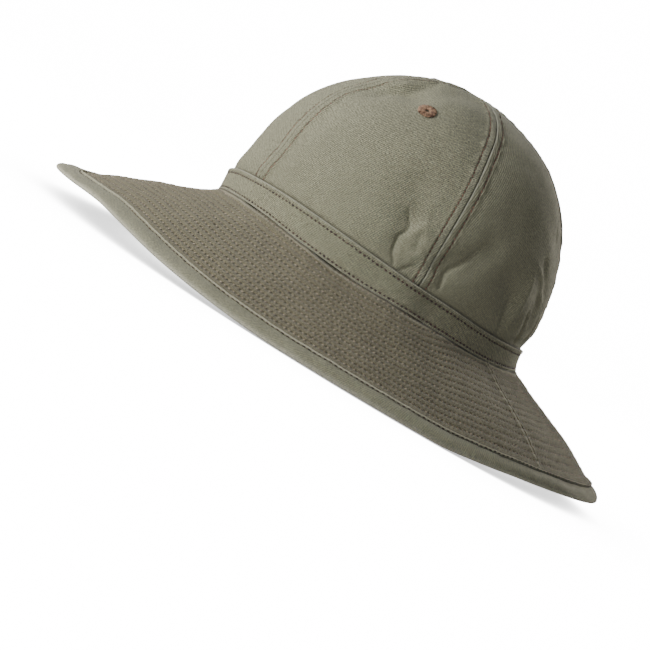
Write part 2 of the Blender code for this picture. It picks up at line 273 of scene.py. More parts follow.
LAMPS = (
    LampRow("key", 28.0, 20.0, 27.0, (0.95, 0.97, 1.0)),
    LampRow("low", 10.0, 8.0, 7.5, (1.0, 0.90, 0.64)),
    LampRow("side", 86.0, 12.0, 6.9, (0.93, 0.95, 1.0)),
    LampRow("front", -40.0, 24.0, 12.0, (1.0, 1.0, 1.0)),
    LampRow("far", -120.0, 20.0, 22.0, (1.0, 0.96, 0.86)),
)
SPRUNG_COLUMNS = ("front", "side", "back", "fore", "aft")


def curve_through(rows: Sequence[NamedTuple], column: str, at: Array) -> Array:
    """A column of a table as a smooth curve over its first column.

    Args:
        rows: the table, in order of its first column.
        column: the column to read.
        at: where to read it.

    Returns:
        The values, one for each place.
    """
    places = np.array([row[0] for row in rows], dtype=float)
    values = np.array([getattr(row, column) for row in rows], dtype=float)
    slopes = np.zeros_like(values)
    slopes[1:-1] = (values[2:] - values[:-2]) / (places[2:] - places[:-2])
    if column in SPRUNG_COLUMNS:
        slopes[0] = (values[1] - values[0]) / (places[1] - places[0])
        slopes[-1] = (values[-1] - values[-2]) / (places[-1] - places[-2])
    at = np.clip(at, places[0], places[-1])
    i = np.clip(np.searchsorted(places, at, side="right") - 1, 0, len(rows) - 2)
    span = places[i + 1] - places[i]
    x = (at - places[i]) / span
    start = (1 + 2 * x) * (1 - x) ** 2 * values[i] + x * (1 - x) ** 2 * span * slopes[i]
    end = x * x * (3 - 2 * x) * values[i + 1] + x * x * (x - 1) * span * slopes[i + 1]
    return start + end


def smooth_step(low: float, high: float, at: Array) -> Array:
    """0 below low, 1 above high, smooth between."""
    x = np.clip((at - low) / (high - low), 0.0, 1.0)
    return x * x * (3 - 2 * x)


def bump(at: Array, middle: float, width: float) -> Array:
    """A soft hill of height 1 round the middle."""
    return np.exp(-(((at - middle) / width) ** 2))


def unit(vectors: Array) -> Array:
    """The vectors at length 1."""
    return vectors / (np.linalg.norm(vectors, axis=-1, keepdims=True) + 1e-15)


def ripple(points: Array, length: float, seed: int) -> Array:
    """Soft seeded unevenness between about -1 and 1 at places in space.

    Args:
        points: the places, with their three coordinates last.
        length: the usual distance from one swell to the next.
        seed: fixes the pattern.

    Returns:
        One value for each place.
    """
    dice = np.random.default_rng(seed)
    total = np.zeros(points.shape[:-1])
    for _ in range(9):
        way = unit(dice.normal(size=3))
        pace = math.tau / (length * dice.uniform(0.7, 1.5))
        total += np.sin(points @ way * pace + dice.uniform(0, math.tau))
    return total / 4.2


@dataclass(frozen=True)
class HatForm:
    """The hat's smooth shape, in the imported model's sizes. Every method takes and gives whole arrays."""

    brim_length: float = 0.3488
    brim_width: float = 0.3280
    crown_length: float = 0.1874
    crown_width: float = 0.1722
    crown_height: float = 0.1183
    crown_set_back: float = 0.0035
    foot_height: float = 0.0464
    band_height: float = 0.0168
    brim_lift: float = 0.0088
    binding_width: float = 0.0120
    crown_wall: float = 0.0016
    band_wall: float = 0.0016
    brim_wall: float = 0.0020
    binding_wall: float = 0.0024
    band_gap: float = 0.0005
    foot_gap: float = 0.0006
    fold_width: float = 0.0070
    fold_depth: float = 0.0024
    fold_start: float = 0.16
    fold_full: float = 0.25

    @staticmethod
    def side_degrees(turn: Array) -> Array:
        """The turn in degrees from the front, 0 to 180 on both sides."""
        return np.abs(np.degrees(np.arctan2(np.sin(turn), np.cos(turn))))

    @staticmethod
    def blend_round(rows: Sequence[NamedTuple], at: Array, turn: Array) -> Array:
        """A section's value, mixed from its front, side and back columns.

        Args:
            rows: the section's table.
            at: where to read it.
            turn: the turns.

        Returns:
            The mixed shares.
        """
        front = np.clip(np.cos(turn), 0, None) ** 2 * curve_through(rows, "front", at)
        back = np.clip(-np.cos(turn), 0, None) ** 2 * curve_through(rows, "back", at)
        return front + back + np.sin(turn) ** 2 * curve_through(rows, "side", at)

    def foot(self, turn: Array) -> Array:
        """Height of the crown's foot and the band's lower edge."""
        lift = curve_through(BAND_LINE, "lift", self.side_degrees(turn))
        return self.foot_height + self.band_height * lift

    def band_depth(self, turn: Array) -> Array:
        """The band's own height at a turn."""
        return self.band_height * curve_through(BAND_LINE, "height", self.side_degrees(turn))

    def rise_span(self, turn: Array) -> Array:
        """Height from the crown's foot to its top."""
        return self.foot_height + self.crown_height - self.foot(turn)

    def band_top(self, turn: Array) -> Array:
        """The rise at the band's upper edge."""
        return self.band_depth(turn) / self.rise_span(turn)

    def smooth_crown(self, turn: Array, rise: Array, proud: Array | float = 0.0) -> Array:
        """The crown's outside before folding, moved out level by proud.

        Args:
            turn: the turns.
            rise: the rises.
            proud: how far out, in metres.

        Returns:
            The places.
        """
        turn, rise = np.broadcast_arrays(turn, rise)
        reach = self.blend_round(CROWN_SECTION, rise, turn)
        x = (reach * self.crown_width / 2 + proud) * np.sin(turn)
        y = self.crown_set_back - (reach * self.crown_length / 2 + proud) * np.cos(turn)
        return np.stack([x, y, self.foot(turn) + rise * self.rise_span(turn)], axis=-1)

    def fold_draw(self, place: Array) -> Array:
        """How far the soft folds draw the cloth in.

        Args:
            place: places on the smooth crown.

        Returns:
            The depths in metres.
        """
        draw = np.zeros(place.shape[:-1])
        for fold in FOLDS:
            start = self.smooth_crown(np.radians(fold.turn), np.array(fold.rise))
            end = self.smooth_crown(np.radians(fold.turn_to), np.array(fold.rise_to))
            away, _ = line_distance(place, np.stack([start, end]))
            draw += fold.depth * self.fold_depth * bump(away, 0.0, fold.width * self.fold_width)
        return draw

    def crown(self, turn: Array, rise: Array) -> Array:
        """The crown's outside with its soft folds.

        Args:
            turn: the turns.
            rise: the rises.

        Returns:
            The places.
        """
        place = self.smooth_crown(turn, rise)
        fade = np.clip((rise - self.fold_start) / (self.fold_full - self.fold_start), 0, 1)
        core = np.array([0.0, self.crown_set_back, self.foot_height])
        return place + unit(core - place) * (fade * self.fold_draw(place))[..., None]

    def seam_turn(self, index: int, rise: Array) -> Array:
        """The turn of a crown seam. Seams 0 to 4 go round by the left, and seam 2 is the centre back.

        Args:
            index: the seam.
            rise: the rises.

        Returns:
            The turns in radians.
        """
        fore = np.radians(curve_through(SEAM_LINE, "fore", rise))
        aft = np.radians(curve_through(SEAM_LINE, "aft", rise))
        return (fore, aft, np.full_like(fore, math.pi), math.tau - aft, math.tau - fore)[index]

    def brim_start(self, turn: Array) -> Array:
        """Where the brim leaves the band.

        Args:
            turn: the turns.

        Returns:
            The places.
        """
        place = self.smooth_crown(turn, np.zeros_like(turn), self.band_gap + self.band_wall)
        place[..., 2] = self.foot(turn) - self.foot_gap
        return place

    def brim_end(self, turn: Array) -> Array:
        """The outer edge of the brim's upper face.

        Args:
            turn: the turns.

        Returns:
            The places.
        """
        lift = np.clip(curve_through(EDGE_LINE, "lift", self.side_degrees(turn)), 0, None)
        x = self.brim_width / 2 * np.sin(turn)
        y = -self.brim_length / 2 * np.cos(turn)
        return np.stack([x, y, lift * self.brim_lift + self.binding_wall], axis=-1)

    def brim(self, turn: Array, run: Array) -> Array:
        """The brim's smooth upper face: run 0 is at the band and 1 at the edge.

        Args:
            turn: the turns.
            run: the shares of the brim's run.

        Returns:
            The places.
        """
        turn, run = np.broadcast_arrays(turn, run)
        start, end = self.brim_start(turn), self.brim_end(turn)
        place = start + (end - start) * run[..., None]
        fall = self.blend_round(BRIM_SECTION, run, turn)
        place[..., 2] = start[..., 2] + (end[..., 2] - start[..., 2]) * fall
        return place

    def slant(self, turn: Array) -> Array:
        """Length of the brim from the band to the edge."""
        return np.linalg.norm(self.brim_end(turn) - self.brim_start(turn), axis=-1)

    def binding_run(self, turn: Array) -> Array:
        """The run share where the binding starts."""
        width = self.binding_width * curve_through(EDGE_LINE, "width", self.side_degrees(turn))
        return 1.0 - width / self.slant(turn)


def line_distance(place: Array, path: Array) -> tuple[Array, Array]:
    """Distance from places to a line of points, and how far along it the nearest point lies.

    Args:
        place: the places, with their three coordinates last.
        path: the line's points, two or more.

    Returns:
        The distances, and the shares of the line's length, 0 to 1.
    """
    steps = np.linalg.norm(path[1:] - path[:-1], axis=-1)
    before = np.concatenate([[0.0], np.cumsum(steps)])
    best = np.full(place.shape[:-1], np.inf)
    along = np.zeros(place.shape[:-1])
    for i, step in enumerate(steps):
        run = path[i + 1] - path[i]
        share = np.clip((place - path[i]) @ run / (step * step), 0, 1)
        away = np.linalg.norm(place - path[i] - share[..., None] * run, axis=-1)
        nearer = away < best
        best = np.where(nearer, away, best)
        along = np.where(nearer, (before[i] + share * step) / before[-1], along)
    return best, along


def loop_length(line: Array) -> Array:
    """Length along a line that closes on itself, at each point and at the first one again.

    Args:
        line: the points.

    Returns:
        The lengths, one more than the points.
    """
    closed = np.concatenate([line, line[:1]])
    return np.concatenate([[0.0], np.cumsum(np.linalg.norm(np.diff(closed, axis=0), axis=-1))])


@dataclass
class ClothGrid:
    """Rows of points that become one mesh, with maps and masks on its points.

    The points have the shape (rows, columns, 3). A grid may close on itself either way. Maps have one more
    row or column where it closes, so that a pattern runs on over the join. Caps are polygons of column
    numbers that close the first and the last row.
    """

    points: Array
    maps: dict[str, Array]
    masks: dict[str, Array] = field(default_factory=dict)
    close_rows: bool = False
    close_columns: bool = False
    caps: list[list[int]] = field(default_factory=list)

    def build(self, name: str, material: bpy.types.Material) -> bpy.types.Object:
        """Makes the object.

        Args:
            name: the piece's name.
            material: its finish.

        Returns:
            The new object, linked to the scene.
        """
        rows, columns = self.points.shape[:2]
        high = rows if self.close_rows else rows - 1
        wide = columns if self.close_columns else columns - 1
        r, c = np.meshgrid(np.arange(high), np.arange(wide), indexing="ij")
        corners = [(r, c), (r, c + 1), (r + 1, c + 1), (r + 1, c)]
        faces = np.stack([(i % rows) * columns + (j % columns) for i, j in corners], axis=-1)
        faces = faces.reshape(-1, 4)
        loops = {key: np.stack([grid[i, j] for i, j in corners], axis=2).reshape(-1, 2)
                 for key, grid in self.maps.items()}
        faces = faces.tolist()
        for cap in self.caps:
            faces += [cap[::-1], [(rows - 1) * columns + i for i in cap]]
            for key, grid in self.maps.items():
                loops[key] = np.concatenate([loops[key], grid[0][cap[::-1]], grid[rows - 1][cap]])
        mesh = bpy.data.meshes.new(name)
        mesh.from_pydata(self.points.reshape(-1, 3).tolist(), [], faces)
        for key, values in loops.items():
            layer = mesh.uv_layers.new(name=key)
            layer.data.foreach_set("uv", values.astype(np.float32).ravel())
        for key, values in self.masks.items():
            mask = mesh.attributes.new(key, "FLOAT", "POINT")
            mask.data.foreach_set("value", values.astype(np.float32).ravel())
        mesh.validate()
        mesh.shade_smooth()
        mesh.materials.append(material)
        piece = bpy.data.objects.new(name, mesh)
        bpy.context.scene.collection.objects.link(piece)
        return piece


class Graph:
    """A node tree that is built in a few words."""

    def __init__(self, tree: bpy.types.NodeTree) -> None:
        """Starts on a tree, keeping what it holds."""
        self.tree = tree

    def add(self, kind: str, inputs: dict | None = None, **settings: object) -> bpy.types.Node:
        """Adds a node.

        Args:
            kind: the node's type.
            inputs: values or output sockets by input name or number.
            settings: the node's own properties.

        Returns:
            The node.
        """
        node = self.tree.nodes.new(kind)
        for key, value in settings.items():
            setattr(node, key, value)
        for key, value in (inputs or {}).items():
            self.feed(node.inputs[key], value)
        return node

    def feed(self, socket: bpy.types.NodeSocket, value: object) -> None:
        """Links an output socket to an input, or sets the input's own value.

        Args:
            socket: the input.
            value: an output socket or a plain value.
        """
        if isinstance(value, bpy.types.NodeSocket):
            self.tree.links.new(value, socket)
        else:
            socket.default_value = value

    def math(self, operation: str, first: object, second: object = 0.0,
             third: object = 0.0, clamp: bool = False) -> bpy.types.NodeSocket:
        """The result of a math node."""
        values = {0: first, 1: second, 2: third}
        return self.add("ShaderNodeMath", values, operation=operation, use_clamp=clamp).outputs[0]

    def mix(self, factor: object, low: object, high: object) -> bpy.types.NodeSocket:
        """A mix of two colours.

        Args:
            factor: the share of the high colour.
            low: the colour at 0.
            high: the colour at 1.

        Returns:
            The mixed colour.
        """
        node = self.add("ShaderNodeMix", data_type="RGBA")
        self.feed(node.inputs[0], factor)
        self.feed(node.inputs[6], low)
        self.feed(node.inputs[7], high)
        return node.outputs[2]


class ThreadTree(Graph):
    """A geometry node tree that lays threads along a curve."""

    def __init__(self, name: str, inputs: Sequence[tuple[str, str]], result: str) -> None:
        """Starts the tree with its sockets.

        Args:
            name: the tree's name.
            inputs: the label and kind of each input, one of them a material named Thread.
            result: the label of its output.
        """
        super().__init__(bpy.data.node_groups.new(name, "GeometryNodeTree"))
        face = self.tree.interface
        for label, kind in inputs:
            face.new_socket(label, in_out="INPUT", socket_type="NodeSocket" + kind)
        face.new_socket(result, in_out="OUTPUT", socket_type="NodeSocketGeometry")
        self.given = self.add("NodeGroupInput").outputs

    def between(self, low: object, high: object, seed: object) -> bpy.types.NodeSocket:
        """A random number for each thread.

        Args:
            low: the least it can be.
            high: the most it can be.
            seed: fixes the numbers.

        Returns:
            The number's socket.
        """
        node = self.add("FunctionNodeRandomValue", data_type="FLOAT")
        self.feed(node.inputs[2], low)
        self.feed(node.inputs[3], high)
        self.feed(node.inputs["Seed"], seed)
        return node.outputs[1]

    def turned(self, upward: object, swing: bpy.types.NodeSocket) -> bpy.types.NodeSocket:
        """The rotation of a thread that lies along the curve.

        Args:
            upward: the way out of the cloth.
            swing: how far it turns out of line, in radians.

        Returns:
            The rotation's socket.
        """
        tangent = self.add("GeometryNodeInputTangent").outputs[0]
        along = self.add("FunctionNodeAlignRotationToVector", {"Vector": tangent}, axis="X")
        stood = self.add("FunctionNodeAlignRotationToVector",
                         {"Rotation": along.outputs[0], "Vector": upward}, axis="Z", pivot_axis="X")
        angles = self.add("ShaderNodeCombineXYZ", {"Z": swing})
        swung = self.add("FunctionNodeRotateRotation", {
            "Rotation": stood.outputs[0], "Rotate By": angles.outputs[0],
        }, rotation_space="LOCAL")
        return swung.outputs[0]

    def finish(self, geometry: bpy.types.NodeSocket) -> bpy.types.NodeTree:
        """Ends the tree with smooth shading and the thread's finish.

        Args:
            geometry: the realized threads.

        Returns:
            The tree.
        """
        smooth = self.add("GeometryNodeSetShadeSmooth", {"Geometry": geometry})
        done = self.add("GeometryNodeSetMaterial",
                        {"Geometry": smooth.outputs[0], "Material": self.given["Thread"]})
        self.add("NodeGroupOutput", {0: done.outputs[0]})
        return self.tree


class SharedGroup:
    """A shader node group that several finishes use, made once."""

    name = "Group"
    inputs: tuple[tuple[str, str, float], ...] = ()
    outputs: tuple[tuple[str, str], ...] = ()

    def tree(self) -> bpy.types.NodeTree:
        """The group's tree, built at the first call.

        Returns:
            The tree.
        """
        known = bpy.data.node_groups.get(self.name)
        if known:
            return known
        tree = bpy.data.node_groups.new(self.name, "ShaderNodeTree")
        for label, kind, value in self.inputs:
            socket = tree.interface.new_socket(label, in_out="INPUT", socket_type=kind)
            if kind == "NodeSocketFloat":
                socket.default_value = value
        for label, kind in self.outputs:
            tree.interface.new_socket(label, in_out="OUTPUT", socket_type=kind)
        graph = Graph(tree)
        start = graph.add("NodeGroupInput")
        end = graph.add("NodeGroupOutput")
        self.wire(graph, start.outputs, end.inputs)
        return tree

    def wire(self, graph: Graph, given: bpy.types.NodeOutputs, result: bpy.types.NodeInputs) -> None:
        """Builds the inside of the group."""
        raise NotImplementedError

    def place(self, graph: Graph, inputs: dict) -> bpy.types.Node:
        """Puts the group into a material with its own values.

        Args:
            graph: the material's tree.
            inputs: values or sockets by name.

        Returns:
            The group's node.
        """
        node = graph.add("ShaderNodeGroup", node_tree=self.tree())
        for key, value in inputs.items():
            graph.feed(node.inputs[key], value)
        return node


class TwillWeave(SharedGroup):
    """Diagonal ribs broken into threads, on a map in metres."""

    name = "Twill weave"
    inputs = (
        ("Vector", "NodeSocketVector", 0.0),
        ("Rib spacing", "NodeSocketFloat", 0.001),
        ("Rib lean", "NodeSocketFloat", 1.13),
        ("Unevenness", "NodeSocketFloat", 0.5),
    )
    outputs = (("Height", "NodeSocketFloat"), ("Tone", "NodeSocketFloat"))
    wobble_scale = 520.0
    slub_scale = 1500.0

    def wire(self, graph: Graph, given: bpy.types.NodeOutputs, result: bpy.types.NodeInputs) -> None:
        """Two crossed waves, pushed about by a fine noise.

        Args:
            graph: the group's tree.
            given: its inputs.
            result: its outputs.
        """
        wobble = graph.add("ShaderNodeTexNoise", {
            "Vector": given["Vector"], "Scale": self.wobble_scale, "Detail": 2.0,
        })
        push = graph.math("MULTIPLY", graph.math("SUBTRACT", wobble.outputs["Fac"], 0.5), given["Unevenness"])
        turned = graph.add("ShaderNodeVectorRotate", {"Vector": given["Vector"], "Angle": given["Rib lean"]},
                           rotation_type="Z_AXIS", invert=True)
        parts = graph.add("ShaderNodeSeparateXYZ", {0: turned.outputs[0]})
        pace = graph.math("DIVIDE", math.tau, given["Rib spacing"])
        rib = graph.math("MULTIPLY_ADD", push, 6.0, graph.math("MULTIPLY", parts.outputs["Y"], pace))
        length = graph.math("MULTIPLY", graph.math("MULTIPLY", parts.outputs["X"], pace), 0.62)
        thread = graph.math("MULTIPLY_ADD", push, 9.0, length)
        ribs = graph.math("MULTIPLY_ADD", graph.math("SINE", rib), 0.5, 0.5)
        threads = graph.math("MULTIPLY_ADD", graph.math("SINE", thread), 0.22, 0.78)
        height = graph.math("MULTIPLY", ribs, threads)
        graph.feed(result["Height"], height)
        slub = graph.add("ShaderNodeTexNoise", {
            "Vector": given["Vector"], "Scale": self.slub_scale, "Detail": 1.0,
        })
        tone = graph.math("MULTIPLY_ADD", slub.outputs["Fac"], 0.65, graph.math("MULTIPLY", height, 0.38))
        graph.feed(result["Tone"], tone)


class ClothTone(SharedGroup):
    """Slow and quick unevenness of a dyed cloth."""

    name = "Cloth tone"
    inputs = (
        ("Vector", "NodeSocketVector", 0.0),
        ("Cloud size", "NodeSocketFloat", 0.05),
        ("Speck size", "NodeSocketFloat", 0.002),
    )
    outputs = (("Clouds", "NodeSocketFloat"), ("Specks", "NodeSocketFloat"))

    def wire(self, graph: Graph, given: bpy.types.NodeOutputs, result: bpy.types.NodeInputs) -> None:
        """One noise for the clouds and one for the specks, each by its own size.

        Args:
            graph: the group's tree.
            given: its inputs.
            result: its outputs.
        """
        for label, size, detail in (("Clouds", "Cloud size", 3.0), ("Specks", "Speck size", 2.0)):
            scale = graph.math("DIVIDE", 1.0, given[size])
            noise = graph.add("ShaderNodeTexNoise", {
                "Vector": given["Vector"], "Scale": scale, "Detail": detail,
            })
            graph.feed(result[label], noise.outputs["Fac"])


class PaintedLightAndShade(SharedGroup):
    """Painted highlight on rolled edges and ridges, and painted shade in grooves and under edges. Only the
    highlight is broken up by a noise.
    """

    name = "Painted light and shade"
    inputs = (
        ("Colour", "NodeSocketColor", 0.0),
        ("Worn colour", "NodeSocketColor", 0.0),
        ("Groove colour", "NodeSocketColor", 0.0),
        ("Painted highlight", "NodeSocketFloat", 0.0),
        ("Painted shade", "NodeSocketFloat", 0.0),
        ("Breakup", "NodeSocketFloat", 0.5),
    )
    outputs = (("Colour", "NodeSocketColor"),)

    def wire(self, graph: Graph, given: bpy.types.NodeOutputs, result: bpy.types.NodeInputs) -> None:
        """The masks times the noise drive two mixes.

        Args:
            graph: the group's tree.
            given: its inputs.
            result: its outputs.
        """
        patchy = graph.math("MULTIPLY_ADD", given["Breakup"], 1.4, 0.3)
        worn = graph.math("MULTIPLY", given["Painted highlight"], patchy, clamp=True)
        groove = graph.math("MULTIPLY", given["Painted shade"], 1.0, clamp=True)
        light = graph.mix(worn, given["Colour"], given["Worn colour"])
        graph.feed(result["Colour"], graph.mix(groove, light, given["Groove colour"]))


class StitchPucker(SharedGroup):
    """Small swells between the stitches of quilted rows, on a map counted in stitches and rows."""

    name = "Stitch pucker"
    inputs = (
        ("Vector", "NodeSocketVector", 0.0),
        ("Row reach", "NodeSocketFloat", 0.16),
        ("Hole reach", "NodeSocketFloat", 0.08),
    )
    outputs = (("Height", "NodeSocketFloat"), ("Hole", "NodeSocketFloat"))

    def wire(self, graph: Graph, given: bpy.types.NodeOutputs, result: bpy.types.NodeInputs) -> None:
        """A furrow along each row, swelling between stitches, and painted shade along the row, darkest at
        each hole.

        Args:
            graph: the group's tree.
            given: its inputs.
            result: its outputs.
        """
        parts = graph.add("ShaderNodeSeparateXYZ", {0: given["Vector"]})
        off_row = graph.math("ABSOLUTE", graph.math("SUBTRACT", parts.outputs["Y"],
                                                     graph.math("ROUND", parts.outputs["Y"])))
        share = graph.math("FRACT", parts.outputs["X"])
        off_hole = graph.math("ABSOLUTE", graph.math("SUBTRACT", share, 0.5))
        wave = graph.math("COSINE", graph.math("MULTIPLY", parts.outputs["X"], math.tau))
        depth = graph.math("MULTIPLY_ADD", wave, 0.45, -0.55)
        near_row = self.hill(graph, off_row, given["Row reach"])
        graph.feed(result["Height"], graph.math("MULTIPLY", depth, near_row))
        # Hole is painted shade: along each row's furrow, darkest at the needle holes, and patchy by a noise.
        tight_row = self.hill(graph, off_row, given["Hole reach"])
        tight_hole = self.hill(graph, off_hole, graph.math("MULTIPLY", given["Hole reach"], 1.8))
        dark = graph.math("MULTIPLY_ADD", tight_hole, 0.58, 0.42)
        own = graph.add("ShaderNodeTexNoise", {"Vector": given["Vector"], "Scale": 1.7, "Detail": 1.0})
        strength = graph.add("ShaderNodeMapRange", {
            "Value": own.outputs["Fac"], "From Min": 0.32, "From Max": 0.60,
        })
        dark = graph.math("MULTIPLY", dark, strength.outputs[0])
        graph.feed(result["Hole"], graph.math("MULTIPLY", tight_row, dark))

    @staticmethod
    def hill(graph: Graph, away: bpy.types.NodeSocket, reach: object) -> bpy.types.NodeSocket:
        """1 at 0 and falling to nothing past the reach."""
        ratio = graph.math("DIVIDE", away, reach)
        return graph.math("EXPONENT", graph.math("MULTIPLY", graph.math("MULTIPLY", ratio, ratio), -1.0))


@dataclass(frozen=True)
class TwillFinish:
    """Dyed cotton twill.

    The rib spacing and lean follow the map named Grain, which is in metres. Puckers need the map named Rows.
    """

    name: str
    colour: tuple[float, float, float]
    # The paler colour is a painted highlight and the darker one is painted shade. Masks carried by each piece
    # mix them in.
    worn: tuple[float, float, float] = (0.42, 0.41, 0.32)
    groove: tuple[float, float, float] = (0.055, 0.048, 0.033)
    rib_spacing: float = 0.00105
    rib_lean: float = 1.13
    rib_contrast: float = 1.18
    cloud_contrast: float = 0.12
    speck_contrast: float = 0.80
    roughness: float = 0.92
    rib_depth: float = 0.00030
    pucker_depth: float = 0.0

    def material(self) -> bpy.types.Material:
        """The finish as a material.

        Returns:
            The material.
        """
        made = bpy.data.materials.new(self.name)
        made.use_nodes = True
        graph = Graph(made.node_tree)
        shader = made.node_tree.nodes["Principled BSDF"]
        grain = graph.add("ShaderNodeUVMap", uv_map="Grain").outputs[0]
        place = graph.add("ShaderNodeTexCoord").outputs["Object"]
        weave = TwillWeave().place(graph, {
            "Vector": grain, "Rib spacing": self.rib_spacing, "Rib lean": self.rib_lean, "Unevenness": 0.5,
        })
        tone = ClothTone().place(graph, {"Vector": place, "Cloud size": 0.045, "Speck size": 0.0009})
        colour = self.varied(graph, (*self.colour, 1.0), tone.outputs["Clouds"], self.cloud_contrast)
        colour = self.varied(graph, colour, tone.outputs["Specks"], self.speck_contrast)
        colour = self.varied(graph, colour, weave.outputs["Tone"], self.rib_contrast)
        # Masks of painted highlight and painted shade, made with each piece.
        worn = graph.add("ShaderNodeAttribute", attribute_name="worn").outputs["Fac"]
        groove = graph.add("ShaderNodeAttribute", attribute_name="groove").outputs["Fac"]
        height = graph.math("MULTIPLY", weave.outputs["Height"], self.rib_depth)
        if self.pucker_depth:
            rows = graph.add("ShaderNodeUVMap", uv_map="Rows").outputs[0]
            pucker = StitchPucker().place(graph, {"Vector": rows, "Row reach": 0.17, "Hole reach": 0.085})
            swell = graph.math("MULTIPLY", pucker.outputs["Height"], self.pucker_depth)
            height = graph.math("ADD", height, swell)
            # The quilting's painted shade along the rows and at the holes joins the groove mask of painted
            # shade.
            groove = graph.math("MAXIMUM", groove, graph.math("MULTIPLY", pucker.outputs["Hole"], 0.9))
        wear = PaintedLightAndShade().place(graph, {
            "Colour": colour, "Worn colour": (*self.worn, 1.0), "Groove colour": (*self.groove, 1.0),
            "Painted highlight": worn, "Painted shade": groove, "Breakup": tone.outputs["Specks"],
        })
        fuzz = graph.math("MULTIPLY", graph.math("SUBTRACT", tone.outputs["Specks"], 0.5), 0.00016)
        relief = graph.add("ShaderNodeBump", {
            "Strength": 1.0, "Distance": 1.0, "Height": graph.math("ADD", height, fuzz),
        })
        graph.feed(shader.inputs["Base Color"], wear.outputs["Colour"])
        rough = graph.math("MULTIPLY_ADD", weave.outputs["Tone"], -0.10, self.roughness)
        graph.feed(shader.inputs["Roughness"], rough)
        graph.feed(shader.inputs["Normal"], relief.outputs[0])
        shader.inputs["Metallic"].default_value = 0.0
        shader.inputs["Specular IOR Level"].default_value = 0.25
        shader.inputs["Sheen Weight"].default_value = 0.12
        shader.inputs["Sheen Roughness"].default_value = 0.5
        return made

    @staticmethod
    def varied(graph: Graph, colour: object, tone: bpy.types.NodeSocket,
               contrast: float) -> bpy.types.NodeSocket:
        """A colour made lighter and darker by a tone round 0.5.

        Args:
            graph: the material's tree.
            colour: the colour or its socket.
            tone: the tone's socket.
            contrast: how strong the change is.

        Returns:
            The new colour.
        """
        gain = graph.math("MULTIPLY_ADD", tone, 2.0 * contrast, 1.0 - contrast)
        node = graph.add("ShaderNodeVectorMath", operation="SCALE")
        graph.feed(node.inputs[0], colour[:3] if isinstance(colour, tuple) else colour)
        graph.feed(node.inputs["Scale"], gain)
        return node.outputs[0]


class ThreadTwist(SharedGroup):
    """The slanting plies of a sewing thread."""

    name = "Thread twist"
    inputs = (("Vector", "NodeSocketVector", 0.0), ("Ply spacing", "NodeSocketFloat", 0.0003))
    outputs = (("Height", "NodeSocketFloat"), ("Tone", "NodeSocketFloat"))

    def wire(self, graph: Graph, given: bpy.types.NodeOutputs, result: bpy.types.NodeInputs) -> None:
        """Slanting bands with a slower change of tone.

        Args:
            graph: the group's tree.
            given: its inputs.
            result: its outputs.
        """
        scale = graph.math("DIVIDE", 0.3, given["Ply spacing"])
        bands = graph.add("ShaderNodeTexWave", {
            "Vector": given["Vector"], "Scale": scale, "Distortion": 2.0, "Detail": 1.0,
        }, bands_direction="DIAGONAL")
        graph.feed(result["Height"], bands.outputs["Fac"])
        slow = graph.add("ShaderNodeTexNoise", {"Vector": given["Vector"], "Scale": 600.0, "Detail": 2.0})
        graph.feed(result["Tone"], slow.outputs["Fac"])


@dataclass(frozen=True)
class ThreadFinish:
    """Twisted sewing thread."""

    name: str
    colour: tuple[float, float, float]
    pale: tuple[float, float, float]
    roughness: float = 0.6
    ply_spacing: float = 0.0003

    def material(self) -> bpy.types.Material:
        """The finish as a material.

        Returns:
            The material.
        """
        made = bpy.data.materials.new(self.name)
        made.use_nodes = True
        graph = Graph(made.node_tree)
        shader = made.node_tree.nodes["Principled BSDF"]
        place = graph.add("ShaderNodeTexCoord").outputs["Object"]
        twist = ThreadTwist().place(graph, {"Vector": place, "Ply spacing": self.ply_spacing})
        spread = graph.add("ShaderNodeMapRange", {
            "Value": twist.outputs["Tone"], "From Min": 0.35, "From Max": 0.65,
        })
        base = graph.mix(spread.outputs[0], (*self.colour, 1.0), (*self.pale, 1.0))
        shade = graph.math("MULTIPLY_ADD", twist.outputs["Height"], 0.35, 0.75)
        lit = graph.add("ShaderNodeVectorMath", {0: base, "Scale": shade}, operation="SCALE")
        relief = graph.add("ShaderNodeBump", {
            "Strength": 0.7, "Distance": 0.0001, "Height": twist.outputs["Height"],
        })
        rough = graph.math("MULTIPLY_ADD", twist.outputs["Tone"], 0.2, self.roughness - 0.1)
        graph.feed(shader.inputs["Base Color"], lit.outputs[0])
        graph.feed(shader.inputs["Roughness"], rough)
        graph.feed(shader.inputs["Normal"], relief.outputs[0])
        shader.inputs["Sheen Weight"].default_value = 0.1
        return made


class StitchKind(Enum):
    """How full a stitch's mesh is."""

    FULL = 4
    LIGHT = 3


